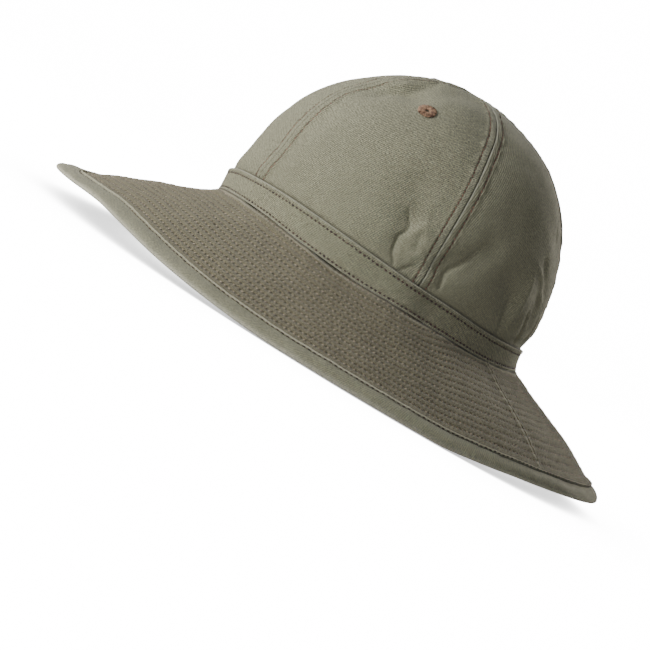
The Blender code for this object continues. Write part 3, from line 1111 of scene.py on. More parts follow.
@dataclass(frozen=True)
class Stitching:
    """Rows of stitches along lines on the cloth, made by one node tree.

    Args:
        pitch: from one stitch to the next.
        length: of one stitch.
        width: of its thread.
        height: of its arch over the cloth.
        kind: how full its mesh is.
        sway: the most that a stitch turns out of line, in radians.
        slant: how far every stitch turns out of line, in radians.
        seed: fixes the small differences.
    """

    pitch: float = 0.0022
    length: float = 0.0018
    width: float = 0.00050
    height: float = 0.00045
    kind: StitchKind = StitchKind.FULL
    sway: float = 0.10
    slant: float = 0.0
    seed: int = 1

    def tree(self) -> bpy.types.NodeTree:
        """The node tree that turns lines into stitches, built at the first call.

        Returns:
            The tree.
        """
        known = bpy.data.node_groups.get("Stitch rows")
        if known:
            return known
        sizes = ("Pitch", "Stitch length", "Thread width", "Thread height", "Sway", "Slant")
        graph = ThreadTree("Stitch rows", [
            ("Lines", "Geometry"), *((label, "Float") for label in sizes),
            ("Rings", "Int"), ("Seed", "Int"), ("Thread", "Material"),
        ], "Stitches")
        given = graph.given
        lines = graph.add("GeometryNodeMeshToCurve", {"Mesh": given["Lines"]})
        evened = graph.add("GeometryNodeResampleCurve", {"Curve": lines.outputs[0], "Length": given["Pitch"]},
                           mode="LENGTH")
        upward = graph.add("GeometryNodeInputNamedAttribute", {"Name": "up"}, data_type="FLOAT_VECTOR")
        least = graph.math("SUBTRACT", given["Slant"], given["Sway"])
        most = graph.math("ADD", given["Slant"], given["Sway"])
        turned = graph.turned(upward.outputs["Attribute"], graph.between(least, most, given["Seed"]))
        size = graph.between(0.86, 1.12, graph.math("ADD", given["Seed"], 7.0))
        bead = graph.add("GeometryNodeMeshUVSphere", {"Segments": 6, "Rings": given["Rings"], "Radius": 0.5})
        extent = graph.add("ShaderNodeCombineXYZ", {
            "X": given["Thread height"], "Y": given["Thread width"], "Z": given["Stitch length"],
        })
        laid = graph.add("GeometryNodeTransform", {
            "Geometry": bead.outputs["Mesh"], "Scale": extent.outputs[0], "Rotation": (0.0, math.pi / 2, 0.0),
        })
        sewn = graph.add("GeometryNodeInstanceOnPoints", {
            "Points": evened.outputs[0], "Instance": laid.outputs[0], "Rotation": turned, "Scale": size,
        })
        real = graph.add("GeometryNodeRealizeInstances", {"Geometry": sewn.outputs[0]})
        return graph.finish(real.outputs[0])

    def sew(self, name: str, lines: Sequence[tuple[Array, Array, bool]],
            thread: bpy.types.Material) -> bpy.types.Object:
        """Sews along lines.

        Args:
            name: the piece's name.
            lines: for each its points, the cloth's normals there, and whether it closes on itself.
            thread: the thread's finish.

        Returns:
            A plain mesh of all the stitches.
        """
        points, normals, edges = [], [], []
        for place, normal, closed in lines:
            first, count = len(points), len(place)
            points.extend(place.tolist())
            normals.extend(normal.tolist())
            edges.extend((first + i, first + i + 1) for i in range(count - 1))
            if closed:
                edges.append((first + count - 1, first))
        mesh = bpy.data.meshes.new(name)
        mesh.from_pydata(points, edges, [])
        upward = mesh.attributes.new("up", "FLOAT_VECTOR", "POINT")
        upward.data.foreach_set("vector", np.array(normals, dtype=np.float32).ravel())
        piece = bpy.data.objects.new(name, mesh)
        bpy.context.scene.collection.objects.link(piece)
        return harden(piece, self.tree(), {
            "Pitch": self.pitch, "Stitch length": self.length, "Thread width": self.width,
            "Thread height": self.height, "Sway": self.sway, "Slant": self.slant,
            "Rings": self.kind.value, "Seed": self.seed, "Thread": thread,
        })


def harden(piece: bpy.types.Object, tree: bpy.types.NodeTree, values: dict) -> bpy.types.Object:
    """Runs a geometry node tree on an object and keeps the result as its plain mesh.

    Args:
        piece: the object.
        tree: the node tree.
        values: its inputs by name.

    Returns:
        The same object, without modifiers.
    """
    step = piece.modifiers.new(tree.name, "NODES")
    step.node_group = tree
    for item in tree.interface.items_tree:
        if item.in_out == "INPUT" and item.name in values:
            step[item.identifier] = values[item.name]
    return plain_mesh(piece)


def plain_mesh(piece: bpy.types.Object) -> bpy.types.Object:
    """Keeps what an object's modifiers make as its own mesh, and drops the modifiers.

    Args:
        piece: the object.

    Returns:
        The same object.
    """
    graph = bpy.context.evaluated_depsgraph_get()
    graph.update()
    mesh = bpy.data.meshes.new_from_object(piece.evaluated_get(graph))
    old = piece.data
    piece.modifiers.clear()
    piece.data = mesh
    mesh.name = piece.name
    bpy.data.meshes.remove(old)
    return piece


@dataclass
class Crown:
    """The domed crown of five panels, with its pressed-open seams and their double rows of stitches.

    Each seam has a narrow groove between two rolled edges, a low ridge of turned-in cloth on both sides,
    and a row of stitches some way to each side. Near the top they all draw together.
    """

    form: HatForm
    twill: bpy.types.Material
    shaded_back_twill: bpy.types.Material
    thread: bpy.types.Material
    row_offset: float = 0.0041
    groove_width: float = 0.00034
    groove_depth: float = 0.0007
    openness: tuple[float, ...] = (0.30, 1.0, 0.9, 0.9, 0.6)
    ridge_height: float = 0.00055
    row_depth: float = 0.00055
    row_width: float = 0.00055
    row_lift: float = 0.00008
    pucker_height: float = 0.00032
    pucker_shift: float = 0.0006
    pucker_reach: float = 0.0030
    allowance_wall: float = 0.0003
    strip_light: float = 0.18
    strip_shade: float = 0.12
    swell: float = 0.00030
    top_reach: float = 0.9999
    rows: int = 216
    middle_columns: int = 32
    inner_share: int = 3
    seam_steps: tuple[float, ...] = (
        0.03, 0.15, 0.3, 0.45, 0.65, 0.9, 1.3, 1.9, 2.5, 3.0, 3.4, 3.7, 4.0, 4.3, 4.6, 5.0, 5.6, 6.3, 7.1,
        8.0,
    )
    crease_reach: float = 0.030
    crease_step: float = 0.00075
    full_width: float = 0.018
    column_width: float = 0.075
    turn_step: float = 0.004
    rise_step: float = 0.002
    panel_names: tuple[str, ...] = ("left", "back_left", "back_right", "right", "front")

    def pace(self, turn: Array, rise: Array) -> Array:
        """Metres of cloth for one radian of turn.

        Args:
            turn: the turns.
            rise: the rises.

        Returns:
            The lengths in metres.
        """
        after = self.form.smooth_crown(turn + self.turn_step, rise)
        before = self.form.smooth_crown(turn - self.turn_step, rise)
        return np.linalg.norm(after - before, axis=-1) / (2 * self.turn_step)

    def normal(self, turn: Array, rise: Array) -> Array:
        """The outward normals of the softly folded crown.

        Args:
            turn: the turns.
            rise: the rises.

        Returns:
            The normals, of length 1.
        """
        high = np.minimum(rise + self.rise_step, 0.9999)
        low = rise - self.rise_step
        along = self.form.crown(turn + self.turn_step, rise) - self.form.crown(turn - self.turn_step, rise)
        upward = self.form.crown(turn, high) - self.form.crown(turn, low)
        return unit(np.cross(along, upward))

    def squeeze(self, turn: Array, rise: Array) -> Array:
        """How much the seams' ridges and rows are drawn together near the top, 1 being not at all."""
        width = self.pace(turn, rise) * math.tau / SEAMS
        return np.clip(width / self.full_width, 0.02, 1.0)

    def seam_distance(self, turn: Array, rise: Array) -> tuple[Array, Array]:
        """Distance along the cloth from the nearest seam, under 0 before it, and how open its groove is.

        Args:
            turn: the turns.
            rise: the rises.

        Returns:
            The distances, and the openness from 0 to 1.
        """
        pace = self.pace(turn, rise)
        best = np.full(np.shape(pace), np.inf)
        openness = np.ones(np.shape(pace))
        for index in range(SEAMS):
            off = turn - self.form.seam_turn(index, rise)
            away = np.arctan2(np.sin(off), np.cos(off)) * pace
            nearer = np.abs(away) < np.abs(best)
            openness = np.where(nearer, self.openness[index], openness)
            best = np.where(nearer, away, best)
        return best, openness

    def creases(self, place: Array) -> Array:
        """Relief of the finer creases.

        Args:
            place: places on the smooth crown.

        Returns:
            The heights in metres.
        """
        relief = np.zeros(place.shape[:-1])
        for crease in CREASES:
            turns = np.radians([stop[0] for stop in crease.path])
            rises = np.array([stop[1] for stop in crease.path])
            away, along = line_distance(place, self.form.smooth_crown(turns, rises))
            fade = smooth_step(0.0, 0.3, along)
            if crease.fade is Fade.BOTH:
                fade = fade * smooth_step(0.0, 0.3, 1.0 - along)
            relief -= crease.depth * MM * fade * bump(away, 0.0, crease.width * MM)
        return relief

    def relief(self, turn: Array, rise: Array) -> dict[str, Array]:
        """The fine relief over the softly folded crown, and the masks of painted highlight and painted shade
        that go with it.

        Args:
            turn: the turns.
            rise: the rises.

        Returns:
            height in metres, and the painted highlight and painted shade (groove) masks, each from 0 to 1.
        """
        place = self.form.smooth_crown(turn, rise)
        squeeze = self.squeeze(turn, rise)
        past, openness = self.seam_distance(turn, rise)
        past = past / squeeze
        away = np.abs(past)
        above_band = smooth_step(-0.015, 0.03, rise - self.form.band_top(turn))
        groove = bump(away, 0.0, self.groove_width) * openness
        ridge = 1.0 - smooth_step(self.row_offset + 0.0004, self.row_offset + 0.0028, away)
        row = bump(away, self.row_offset, self.row_width)
        near_row = bump(away, self.row_offset + self.pucker_shift, self.pucker_reach)
        puckers = ripple(place, 0.0052, 11) * near_row * self.pucker_height
        puckers += ripple(place, 0.0026, 12) * near_row * self.pucker_height * 0.4
        swell = ripple(place, 0.030, 13) * self.swell + ripple(place, 0.010, 14) * self.swell * 0.35
        height = self.ridge_height * ridge - self.row_depth * row + puckers
        height = height * np.clip(squeeze * 1.3, 0, 1) + swell * smooth_step(0.0, 0.012, away)
        height = (height + self.creases(place)) * above_band - self.groove_depth * groove * squeeze
        # Painted light and shade: a painted highlight on the lit rear wall of each seam's groove and on the
        # strip before the seam; painted shade on the groove's front wall, along the stitch rows (more after
        # the seam) and on the strip after the seam; and a painted shadow line just above the band's top edge.
        lit = bump(past, 1.1 * self.groove_width, 0.8 * self.groove_width)
        shaded = bump(past, -0.7 * self.groove_width, self.groove_width)
        strip = smooth_step(0.0007, 0.0012, away) * (1.0 - smooth_step(0.0028, 0.0038, away))
        strip = strip * above_band * openness
        over = (rise - self.form.band_top(turn)) * self.form.rise_span(turn)
        worn = 0.95 * lit * above_band * openness + self.strip_light * strip * (past < 0)
        groove = 0.75 * shaded * openness + np.where(past > 0, 0.60, 0.35) * row * above_band
        groove += self.strip_shade * strip * (past > 0) + 0.70 * bump(over, 0.0002, 0.0009)
        return {"height": height, "worn": worn, "groove": np.clip(groove, 0, 1)}

    def outside(self, turn: Array, rise: Array) -> tuple[Array, Array]:
        """The finished outer face and its smooth normals.

        Args:
            turn: the turns.
            rise: the rises.

        Returns:
            The places, and the normals there.
        """
        turn, rise = np.broadcast_arrays(turn, rise)
        normal = self.normal(turn, rise)
        height = self.relief(turn, rise)["height"]
        return self.form.crown(turn, rise) + normal * height[..., None], normal

    def panel(self, name: str, index: int) -> bpy.types.Object:
        """One panel as a closed sheet with its wall, from the seam at its index to the next one round.

        Args:
            name: the piece's name.
            index: the seam that it starts at.

        Returns:
            The panel.
        """
        share = np.linspace(0.0, 1.0, self.rows)
        rise = self.rise_by_length(share) * self.top_reach
        first = self.form.seam_turn(index, rise)
        last = self.form.seam_turn((index + 1) % SEAMS, rise)
        last = np.where(last < first, last + math.tau, last)
        middle = (first + last) / 2
        width = self.pace(middle, rise) * (last - first)
        seam_zone = np.array(self.seam_steps) * MM
        beyond = np.arange(seam_zone[-1] + self.crease_step, self.crease_reach, self.crease_step)
        zone = np.append(seam_zone, beyond)
        fit = np.minimum(width / self.column_width, 1.0)[:, None]
        near = first[:, None] + zone * fit / self.pace(first, rise)[:, None]
        far = last[:, None] - (zone * fit / self.pace(last, rise)[:, None])[:, ::-1]
        inner = np.linspace(0.0, 1.0, self.middle_columns + 2)[1:-1]
        between = near[:, -1:] + inner * (far[:, :1] - near[:, -1:])
        turn = np.concatenate([near, between, far], axis=1)
        rises = np.broadcast_to(rise[:, None], turn.shape)
        outer, normal = self.outside(turn, rises)
        masks = self.relief(turn, rises)
        inside = self.form.crown(turn, rises)
        allowance = 1.0 - smooth_step(0.0050, 0.0062, np.abs(self.seam_distance(turn, rises)[0]))
        depth = self.form.crown_wall + self.allowance_wall * allowance
        depth = depth - 0.5 * self.creases(self.form.smooth_crown(turn, rises))
        inside = inside - normal * depth[..., None]
        kept = np.unique(np.append(np.arange(0, turn.shape[1], self.inner_share), turn.shape[1] - 1))[::-1]
        points = np.concatenate([outer, inside[:, kept]], axis=1)
        across = np.cumsum(np.linalg.norm(np.diff(outer, axis=1, prepend=outer[:, :1]), axis=-1), axis=1)
        across -= across[:, [across.shape[1] // 2]]
        steps = np.diff(outer[:, turn.shape[1] // 2], axis=0, prepend=0.0)
        length = np.cumsum(np.linalg.norm(steps, axis=-1))
        grain = np.stack([across, np.broadcast_to((length - length[0])[:, None], across.shape)], axis=-1)
        grain = np.concatenate([grain, grain[:, kept] + 0.3], axis=1)
        grain = np.concatenate([grain, grain[:, :1]], axis=1)
        plain = np.zeros((self.rows, len(kept)))
        spread = {key: np.concatenate([masks[key], plain], axis=1).ravel() for key in ("worn", "groove")}
        count = turn.shape[1]
        caps = [[*range(low, high + 1), count + i, count + i + 1]
                for i, (high, low) in enumerate(zip(kept[:-1].tolist(), kept[1:].tolist()))]
        grid = ClothGrid(points, {"Grain": grain}, spread, close_columns=True, caps=caps)
        # The back panels take a copy of the twill with weaker grain contrast, which stands in for the shade
        # they lie in.
        return grid.build(name, self.shaded_back_twill if "back" in name else self.twill)

    def rise_by_length(self, share: Array) -> Array:
        """The rise at a share of the length of cloth from the foot to the top, at the side.

        Args:
            share: the shares, 0 to 1.

        Returns:
            The rises.
        """
        rise = np.sin(np.linspace(0.0, math.pi / 2, 400))
        profile = self.form.smooth_crown(np.full_like(rise, math.pi / 2), rise)
        length = np.cumsum(np.linalg.norm(np.diff(profile, axis=0, prepend=profile[:1]), axis=-1))
        return np.interp(share * length[-1], length, rise)

    def row_line(self, index: int, side: int, inside: bool) -> tuple[Array, Array, bool]:
        """The line of one row of stitches beside a seam.

        Args:
            index: the seam.
            side: -1 for the row before it and 1 for the row after it.
            inside: whether the line lies on the inner face.

        Returns:
            The points, the normals there, and that the line is open.
        """
        low = float(self.form.band_top(self.form.seam_turn(index, np.array(0.1)))) - 0.01
        rise = low + (0.982 - low) * self.rise_by_length(np.linspace(0.0, 1.0, 160))
        seam = self.form.seam_turn(index, rise)
        offset = self.row_offset * self.squeeze(seam, rise)
        turn = seam + side * offset / self.pace(seam, rise)
        place, normal = self.outside(turn, rise)
        if inside:
            depth = self.form.crown_wall + self.allowance_wall + self.relief(turn, rise)["height"]
            return place - normal * depth[:, None], -normal, False
        return place + normal * self.row_lift, normal, False

    def build(self) -> list[bpy.types.Object]:
        """Makes the five panels and all their stitches.

        Returns:
            The pieces.
        """
        pieces = []
        for index, side in enumerate(self.panel_names):
            panel = self.panel("crown_cloth_" + side, index)
            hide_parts("crown_panel_" + side)
            pieces.append(panel)
        for label, inside in (("outer", False), ("inner", True)):
            lines = [self.row_line(index, side, inside) for index in range(SEAMS) for side in (-1, 1)]
            rows = Stitching(pitch=0.0025, length=0.0022, width=0.00100, height=0.00070,
                             sway=0.16, slant=0.24, seed=3)
            sewn = rows.sew("crown_stitches_" + label, lines, self.thread)
            pieces.append(sewn)
        return pieces


@dataclass
class Band:
    """The strip round the foot of the crown, folded under along both edges and sewn down by two rows."""

    form: HatForm
    twill: bpy.types.Material
    thread: bpy.types.Material
    upper_row: float = 0.0026
    lower_row: float = 0.0015
    fold_radius: float = 0.0006
    fold_height: float = 0.00035
    row_depth: float = 0.00050
    row_width: float = 0.0005
    row_lift: float = 0.00010
    # A patch of painted shade on the band at the back of each side: its strength, its turn in degrees and its
    # width.
    painted_shade_patch: float = 0.36
    shaded_turn: float = 109.0
    shaded_spread: float = 4.8
    swell: float = 0.00030
    columns: int = 640
    length_step: int = 9
    steps: tuple[float, ...] = (0.0, 0.12, 0.25, 0.4, 0.6, 0.8, 1.1, 1.4, 1.7, 2.0, 2.5, 3.2)

    def relief(self, turn: Array, up: Array, depth: Array) -> dict[str, Array]:
        """Fine relief and masks at heights over the band's lower edge.

        Args:
            turn: the turns.
            up: heights over the lower edge, in metres.
            depth: the band's height at those turns.

        Returns:
            height in metres, and the painted highlight and painted shade (groove) masks, each from 0 to 1.
        """
        place = self.form.smooth_crown(turn, up / self.form.rise_span(turn))
        from_edge = np.minimum(up, depth - up)
        roll = np.clip(1.0 - from_edge / self.fold_radius, 0, 1)
        rounded = -self.fold_radius * (1.0 - np.sqrt(np.clip(1.0 - roll * roll, 0, 1)))
        low_fold = 1.0 - smooth_step(0.4 * self.lower_row, 1.6 * self.lower_row, up)
        high_fold = 1.0 - smooth_step(0.6 * self.upper_row, 1.5 * self.upper_row, depth - up)
        rows = bump(up, self.lower_row, self.row_width) + bump(depth - up, self.upper_row, self.row_width)
        near_rows = bump(up, self.lower_row, 0.0022) + bump(depth - up, self.upper_row, 0.0026)
        height = rounded + self.fold_height * (low_fold + 0.7 * high_fold) - self.row_depth * rows
        height += ripple(place, 0.0046, 21) * 0.00013 * near_rows
        height += ripple(place * (1, 1, 0.5), 0.021, 22) * self.swell * smooth_step(0.0, 0.004, from_edge)
        # A painted highlight along the rolled fold edges. Painted shade along the two stitch rows, and in a
        # patch where the band lies in shade at the back of each side.
        edge = bump(from_edge, 0.00025, 0.0003)
        painted_shade_patch = self.painted_shade_patch * bump(self.form.side_degrees(turn), self.shaded_turn, self.shaded_spread)
        groove = np.clip(0.14 * rows + painted_shade_patch * (1.0 - edge), 0, 1)
        return {"height": height, "worn": 0.9 * edge, "groove": groove}

    def outside(self, turn: Array, up: Array) -> tuple[Array, Array]:
        """The finished outer face and its normals, level outwards.

        Args:
            turn: the turns.
            up: heights over the lower edge, in metres.

        Returns:
            The places, and the normals there.
        """
        depth = self.form.band_depth(turn)
        rise = up / self.form.rise_span(turn)
        proud = self.form.band_gap + self.form.band_wall
        place = self.form.smooth_crown(turn, rise, proud)
        outward = unit(place * (1, 1, 0) - (0.0, self.form.crown_set_back, 0.0))
        return place + outward * self.relief(turn, up, depth)["height"][..., None], outward

    def build(self) -> list[bpy.types.Object]:
        """Makes the band and its two rows of stitches.

        Returns:
            The pieces.
        """
        turn = np.linspace(0.0, math.tau, self.columns, endpoint=False)
        depth = self.form.band_depth(turn)
        edge = np.array(self.steps)[:, None] * MM
        middle = np.linspace(0.0, 1.0, 9)[1:-1, None]
        low, high = edge[-1] * np.ones_like(depth), depth - edge[-1]
        up = np.concatenate([edge * np.ones_like(depth), low + middle * (high - low), depth - edge[::-1]])
        turns = np.broadcast_to(turn, up.shape)
        outer, outward = self.outside(turns, up)
        masks = self.relief(turns, up, depth)
        back = np.array([0.97, 0.6, 0.3, 0.03])[:, None] * depth
        back_turns = np.broadcast_to(turn, back.shape)
        inner = self.form.smooth_crown(back_turns, back / self.form.rise_span(turn), self.form.band_gap)
        points = np.concatenate([outer, inner])
        round_length = loop_length(outer[self.length_step])
        heights = np.concatenate([up, back + 0.05, up[:1]])
        heights = np.concatenate([heights, heights[:, :1]], axis=1)
        grain = np.stack([np.broadcast_to(round_length, heights.shape), heights], axis=-1)
        spread = {key: np.concatenate([masks[key], np.zeros_like(inner[..., 0])]).ravel()
                  for key in ("worn", "groove")}
        grid = ClothGrid(points, {"Grain": grain}, spread, close_rows=True, close_columns=True)
        band = grid.build("band_cloth", self.twill)
        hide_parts("band")
        lines = []
        for offset, from_top in ((self.lower_row, False), (self.upper_row, True)):
            up = depth - offset if from_top else np.full_like(depth, offset)
            place, normal = self.outside(turn, up)
            lines.append((place + normal * self.row_lift, normal, True))
        rows = Stitching(pitch=0.0027, length=0.00165, width=0.00160, height=0.00065, seed=5)
        sewn = rows.sew("band_stitches", lines, self.thread)
        return [band, sewn]


@dataclass
class Brim:
    """The drooping brim, quilted by rows of stitches, with a join across it on each side."""

    form: HatForm
    twill: bpy.types.Material
    thread: bpy.types.Material
    puff: float = 0.00022
    end_puff: float = 0.4
    join_degrees: float = 142.8
    join_width: float = 0.0021
    join_height: float = 0.00080
    lip_height: float = 0.00020
    seat_height: float = 0.00050
    row_lift: float = 0.00010
    columns: int = 610
    join_columns: int = 22
    join_reach: float = 1.5
    upper_rows: int = 100
    lower_rows: int = 42
    step: float = 0.002

    def normal(self, turn: Array, run: Array) -> Array:
        """The upward normals of the smooth brim.

        Args:
            turn: the turns.
            run: the shares of the brim's run.

        Returns:
            The normals, of length 1.
        """
        out = self.form.brim(turn, run + self.step) - self.form.brim(turn, run - self.step)
        along = self.form.brim(turn + self.step, run) - self.form.brim(turn - self.step, run)
        return unit(np.cross(out, along))

    def row_count(self, turn: Array) -> Array:
        """How many rows of stitches cross the brim at a turn. They are counted from the binding."""
        return curve_through(QUILT_LINE, "count", self.form.side_degrees(turn))

    def join_distance(self, turn: Array, run: Array) -> Array:
        """Distance along the cloth to the nearer of the two joins.

        Args:
            turn: the turns.
            run: the shares of the brim's run.

        Returns:
            The distances in metres.
        """
        off = np.radians(self.form.side_degrees(turn) - self.join_degrees)
        place = self.form.brim(turn, run)
        return np.abs(off) * np.hypot(place[..., 0], place[..., 1])

    def relief(self, turn: Array, share: Array) -> dict[str, Array]:
        """Fine relief and masks, at a share of the way from the band to the binding.

        Args:
            turn: the turns.
            share: the shares, 0 to 1.

        Returns:
            height in metres, and the painted highlight and painted shade (groove) masks, each from 0 to 1.
        """
        run = share * self.form.binding_run(turn)
        place = self.form.brim(turn, run)
        wave = np.abs(np.sin(math.pi * (1.0 - share) * self.row_count(turn)))
        degrees = self.form.side_degrees(turn)
        ends = smooth_step(132.0, 150.0, degrees) + 1.0 - smooth_step(30.0, 62.0, degrees)
        rows_show = 1.0 + self.end_puff * ends
        height = self.puff * rows_show * (wave - 0.5) * (1.0 + 0.30 * ripple(place, 0.006, 31))
        height += ripple(place, 0.028, 32) * 0.00030 + ripple(place, 0.007, 33) * 0.00008
        join = self.join_distance(turn, run)
        seam = bump(join, 0.0, self.join_width) - 0.8 * bump(join, 0.0, 0.25 * self.join_width)
        from_band = share * self.form.slant(turn)
        from_end = (1.0 - share) * self.form.slant(turn)
        height += self.join_height * seam + self.seat_height * bump(from_band, 0.0, 0.0022)
        lip = bump(from_end, 0.0007, 0.0006)
        height += self.lip_height * lip
        # Painted highlights on the lip before the binding, beside each join and on the seat by the band.
        # Painted shade in the ditch at the binding, and a painted shadow line under the band's edge.
        worn = 0.20 * lip + 0.95 * bump(join, 0.0014, 0.00045) + 0.75 * bump(from_band, 0.0020, 0.0007)
        groove = 0.50 * bump(from_end, 0.0002, 0.0006) + 0.80 * bump(from_band, 0.0005, 0.0007)
        return {"height": height, "worn": np.clip(worn, 0, 1), "groove": np.clip(groove, 0, 1)}

    def face(self, turn: Array, share: Array, below: bool) -> tuple[Array, Array]:
        """The finished upper or lower face, with normals pointing out of the cloth.

        Args:
            turn: the turns.
            share: the shares from the band to the binding.
            below: whether it is the lower face.

        Returns:
            The places, and the normals there.
        """
        turn, share = np.broadcast_arrays(turn, share)
        run = share * self.form.binding_run(turn)
        normal = self.normal(turn, run)
        height = self.relief(turn, share)["height"]
        place = self.form.brim(turn, run)
        if below:
            return place - normal * (self.form.brim_wall + height)[..., None], -normal
        return place + normal * height[..., None], normal

    def row_share(self, turn: Array, row: int) -> Array:
        """Where a row of stitches lies between the band and the binding. Under 0 it is hidden by the band."""
        return 1.0 - row / self.row_count(turn)

    def row_length(self, turn: Array, row: int) -> Array:
        """Length along a row of stitches from a turn of its own, and on to the first turn again.

        Args:
            turn: the turns.
            row: the row's number.

        Returns:
            The lengths in metres.
        """
        line, _ = self.face(turn, np.clip(self.row_share(turn, row), 0, 1), below=False)
        length = loop_length(line)
        return length - length[self.row_start(turn, row)]

    def row_start(self, turn: Array, row: int) -> int:
        """The column at which a row's stitches are counted from, always in front of the joins."""
        dice = np.random.default_rng(row + 70)
        return int(np.argmin(np.abs(turn - math.radians(dice.uniform(2.0, 20.0)))))

    def turns(self) -> Array:
        """Turns of the columns, falling, and closer together at the two joins.

        Returns:
            The turns in radians.
        """
        joins = [self.join_degrees, 360.0 - self.join_degrees]
        near = [np.linspace(at - self.join_reach, at + self.join_reach, self.join_columns) for at in joins]
        even = np.linspace(0.0, 360.0, self.columns, endpoint=False)
        for at in joins:
            even = even[np.abs(even - at) > self.join_reach]
        return np.radians(np.sort(np.concatenate([even, *near]))[::-1])

    def row_lines(self, turn: Array, row: int, below: bool) -> list[tuple[Array, Array, bool]]:
        """The line of one row of stitches, in one piece or in the pieces that the band leaves free.

        Args:
            turn: the turns.
            row: the row's number.
            below: whether it is on the lower face.

        Returns:
            For each piece its points, its normals, and whether it closes on itself.
        """
        share = self.row_share(turn, row)
        place, normal = self.face(turn, np.clip(share, 0, 1), below)
        place = place + normal * self.row_lift
        start = self.row_start(turn, row)
        place, normal, free = (np.roll(values, -start, axis=0) for values in (place, normal, share > 0.015))
        if free.all():
            return [(place, normal, True)]
        pieces = []
        for part in np.split(np.arange(len(free)), np.flatnonzero(np.diff(free.astype(int))) + 1):
            if free[part[0]] and len(part) > 4:
                pieces.append((place[part], normal[part], False))
        return pieces

    def build(self) -> list[bpy.types.Object]:
        """Makes the brim and the stitches of both its faces.

        Returns:
            The pieces.
        """
        rows = Stitching(pitch=0.0029, length=0.00135, width=0.00070, height=0.00040,
                         kind=StitchKind.LIGHT, sway=0.25, slant=0.12, seed=9)
        turn = self.turns()
        upper = np.linspace(0.0, 1.0, self.upper_rows)[:, None]
        lower = np.linspace(1.0, 0.0, self.lower_rows)[:, None]
        top, _ = self.face(turn, upper, below=False)
        under, _ = self.face(turn, lower, below=True)
        inner = self.form.smooth_crown(turn, np.zeros_like(turn), -self.form.crown_wall)
        inner[..., 2] = self.form.foot(turn) - self.form.foot_gap
        drop = np.array([0.0, 0.0, self.form.brim_wall])
        points = np.concatenate([inner[None], top, under, (inner - drop)[None]])
        spread = {}
        over = self.relief(np.broadcast_to(turn, (len(upper), len(turn))), upper)
        below = self.relief(np.broadcast_to(turn, (len(lower), len(turn))), lower)
        plain = np.zeros((1, len(turn)))
        for key in ("worn", "groove"):
            spread[key] = np.concatenate([plain, over[key], below[key], plain]).ravel()
        plan = points[..., :2] * 1.12
        plan = np.concatenate([plan, plan[:1]])
        plan = np.concatenate([plan, plan[:, :1]], axis=1)
        share = np.concatenate([[0.0], upper[:, 0], lower[:, 0], [0.0], [0.0]])[:, None]
        across = (1.0 - share) * self.row_count(np.append(turn, turn[0]))
        last = int(np.ceil(across.max()))
        counts = np.stack([self.row_length(turn, row) / rows.pitch for row in range(last + 1)])
        nearest = np.round(across).astype(int)
        stitch = np.take_along_axis(counts, nearest, axis=0)
        grid = ClothGrid(points, {"Grain": plan, "Rows": np.stack([stitch, across], axis=-1)}, spread,
                         close_rows=True, close_columns=True)
        brim = grid.build("brim_cloth", self.twill)
        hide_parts("brim")
        pieces = [brim]
        for label, beneath in (("upper", False), ("lower", True)):
            lines = [line for row in range(1, last) for line in self.row_lines(turn, row, beneath)]
            sewn = rows.sew("brim_stitches_" + label, lines, self.thread)
            pieces.append(sewn)
        return pieces


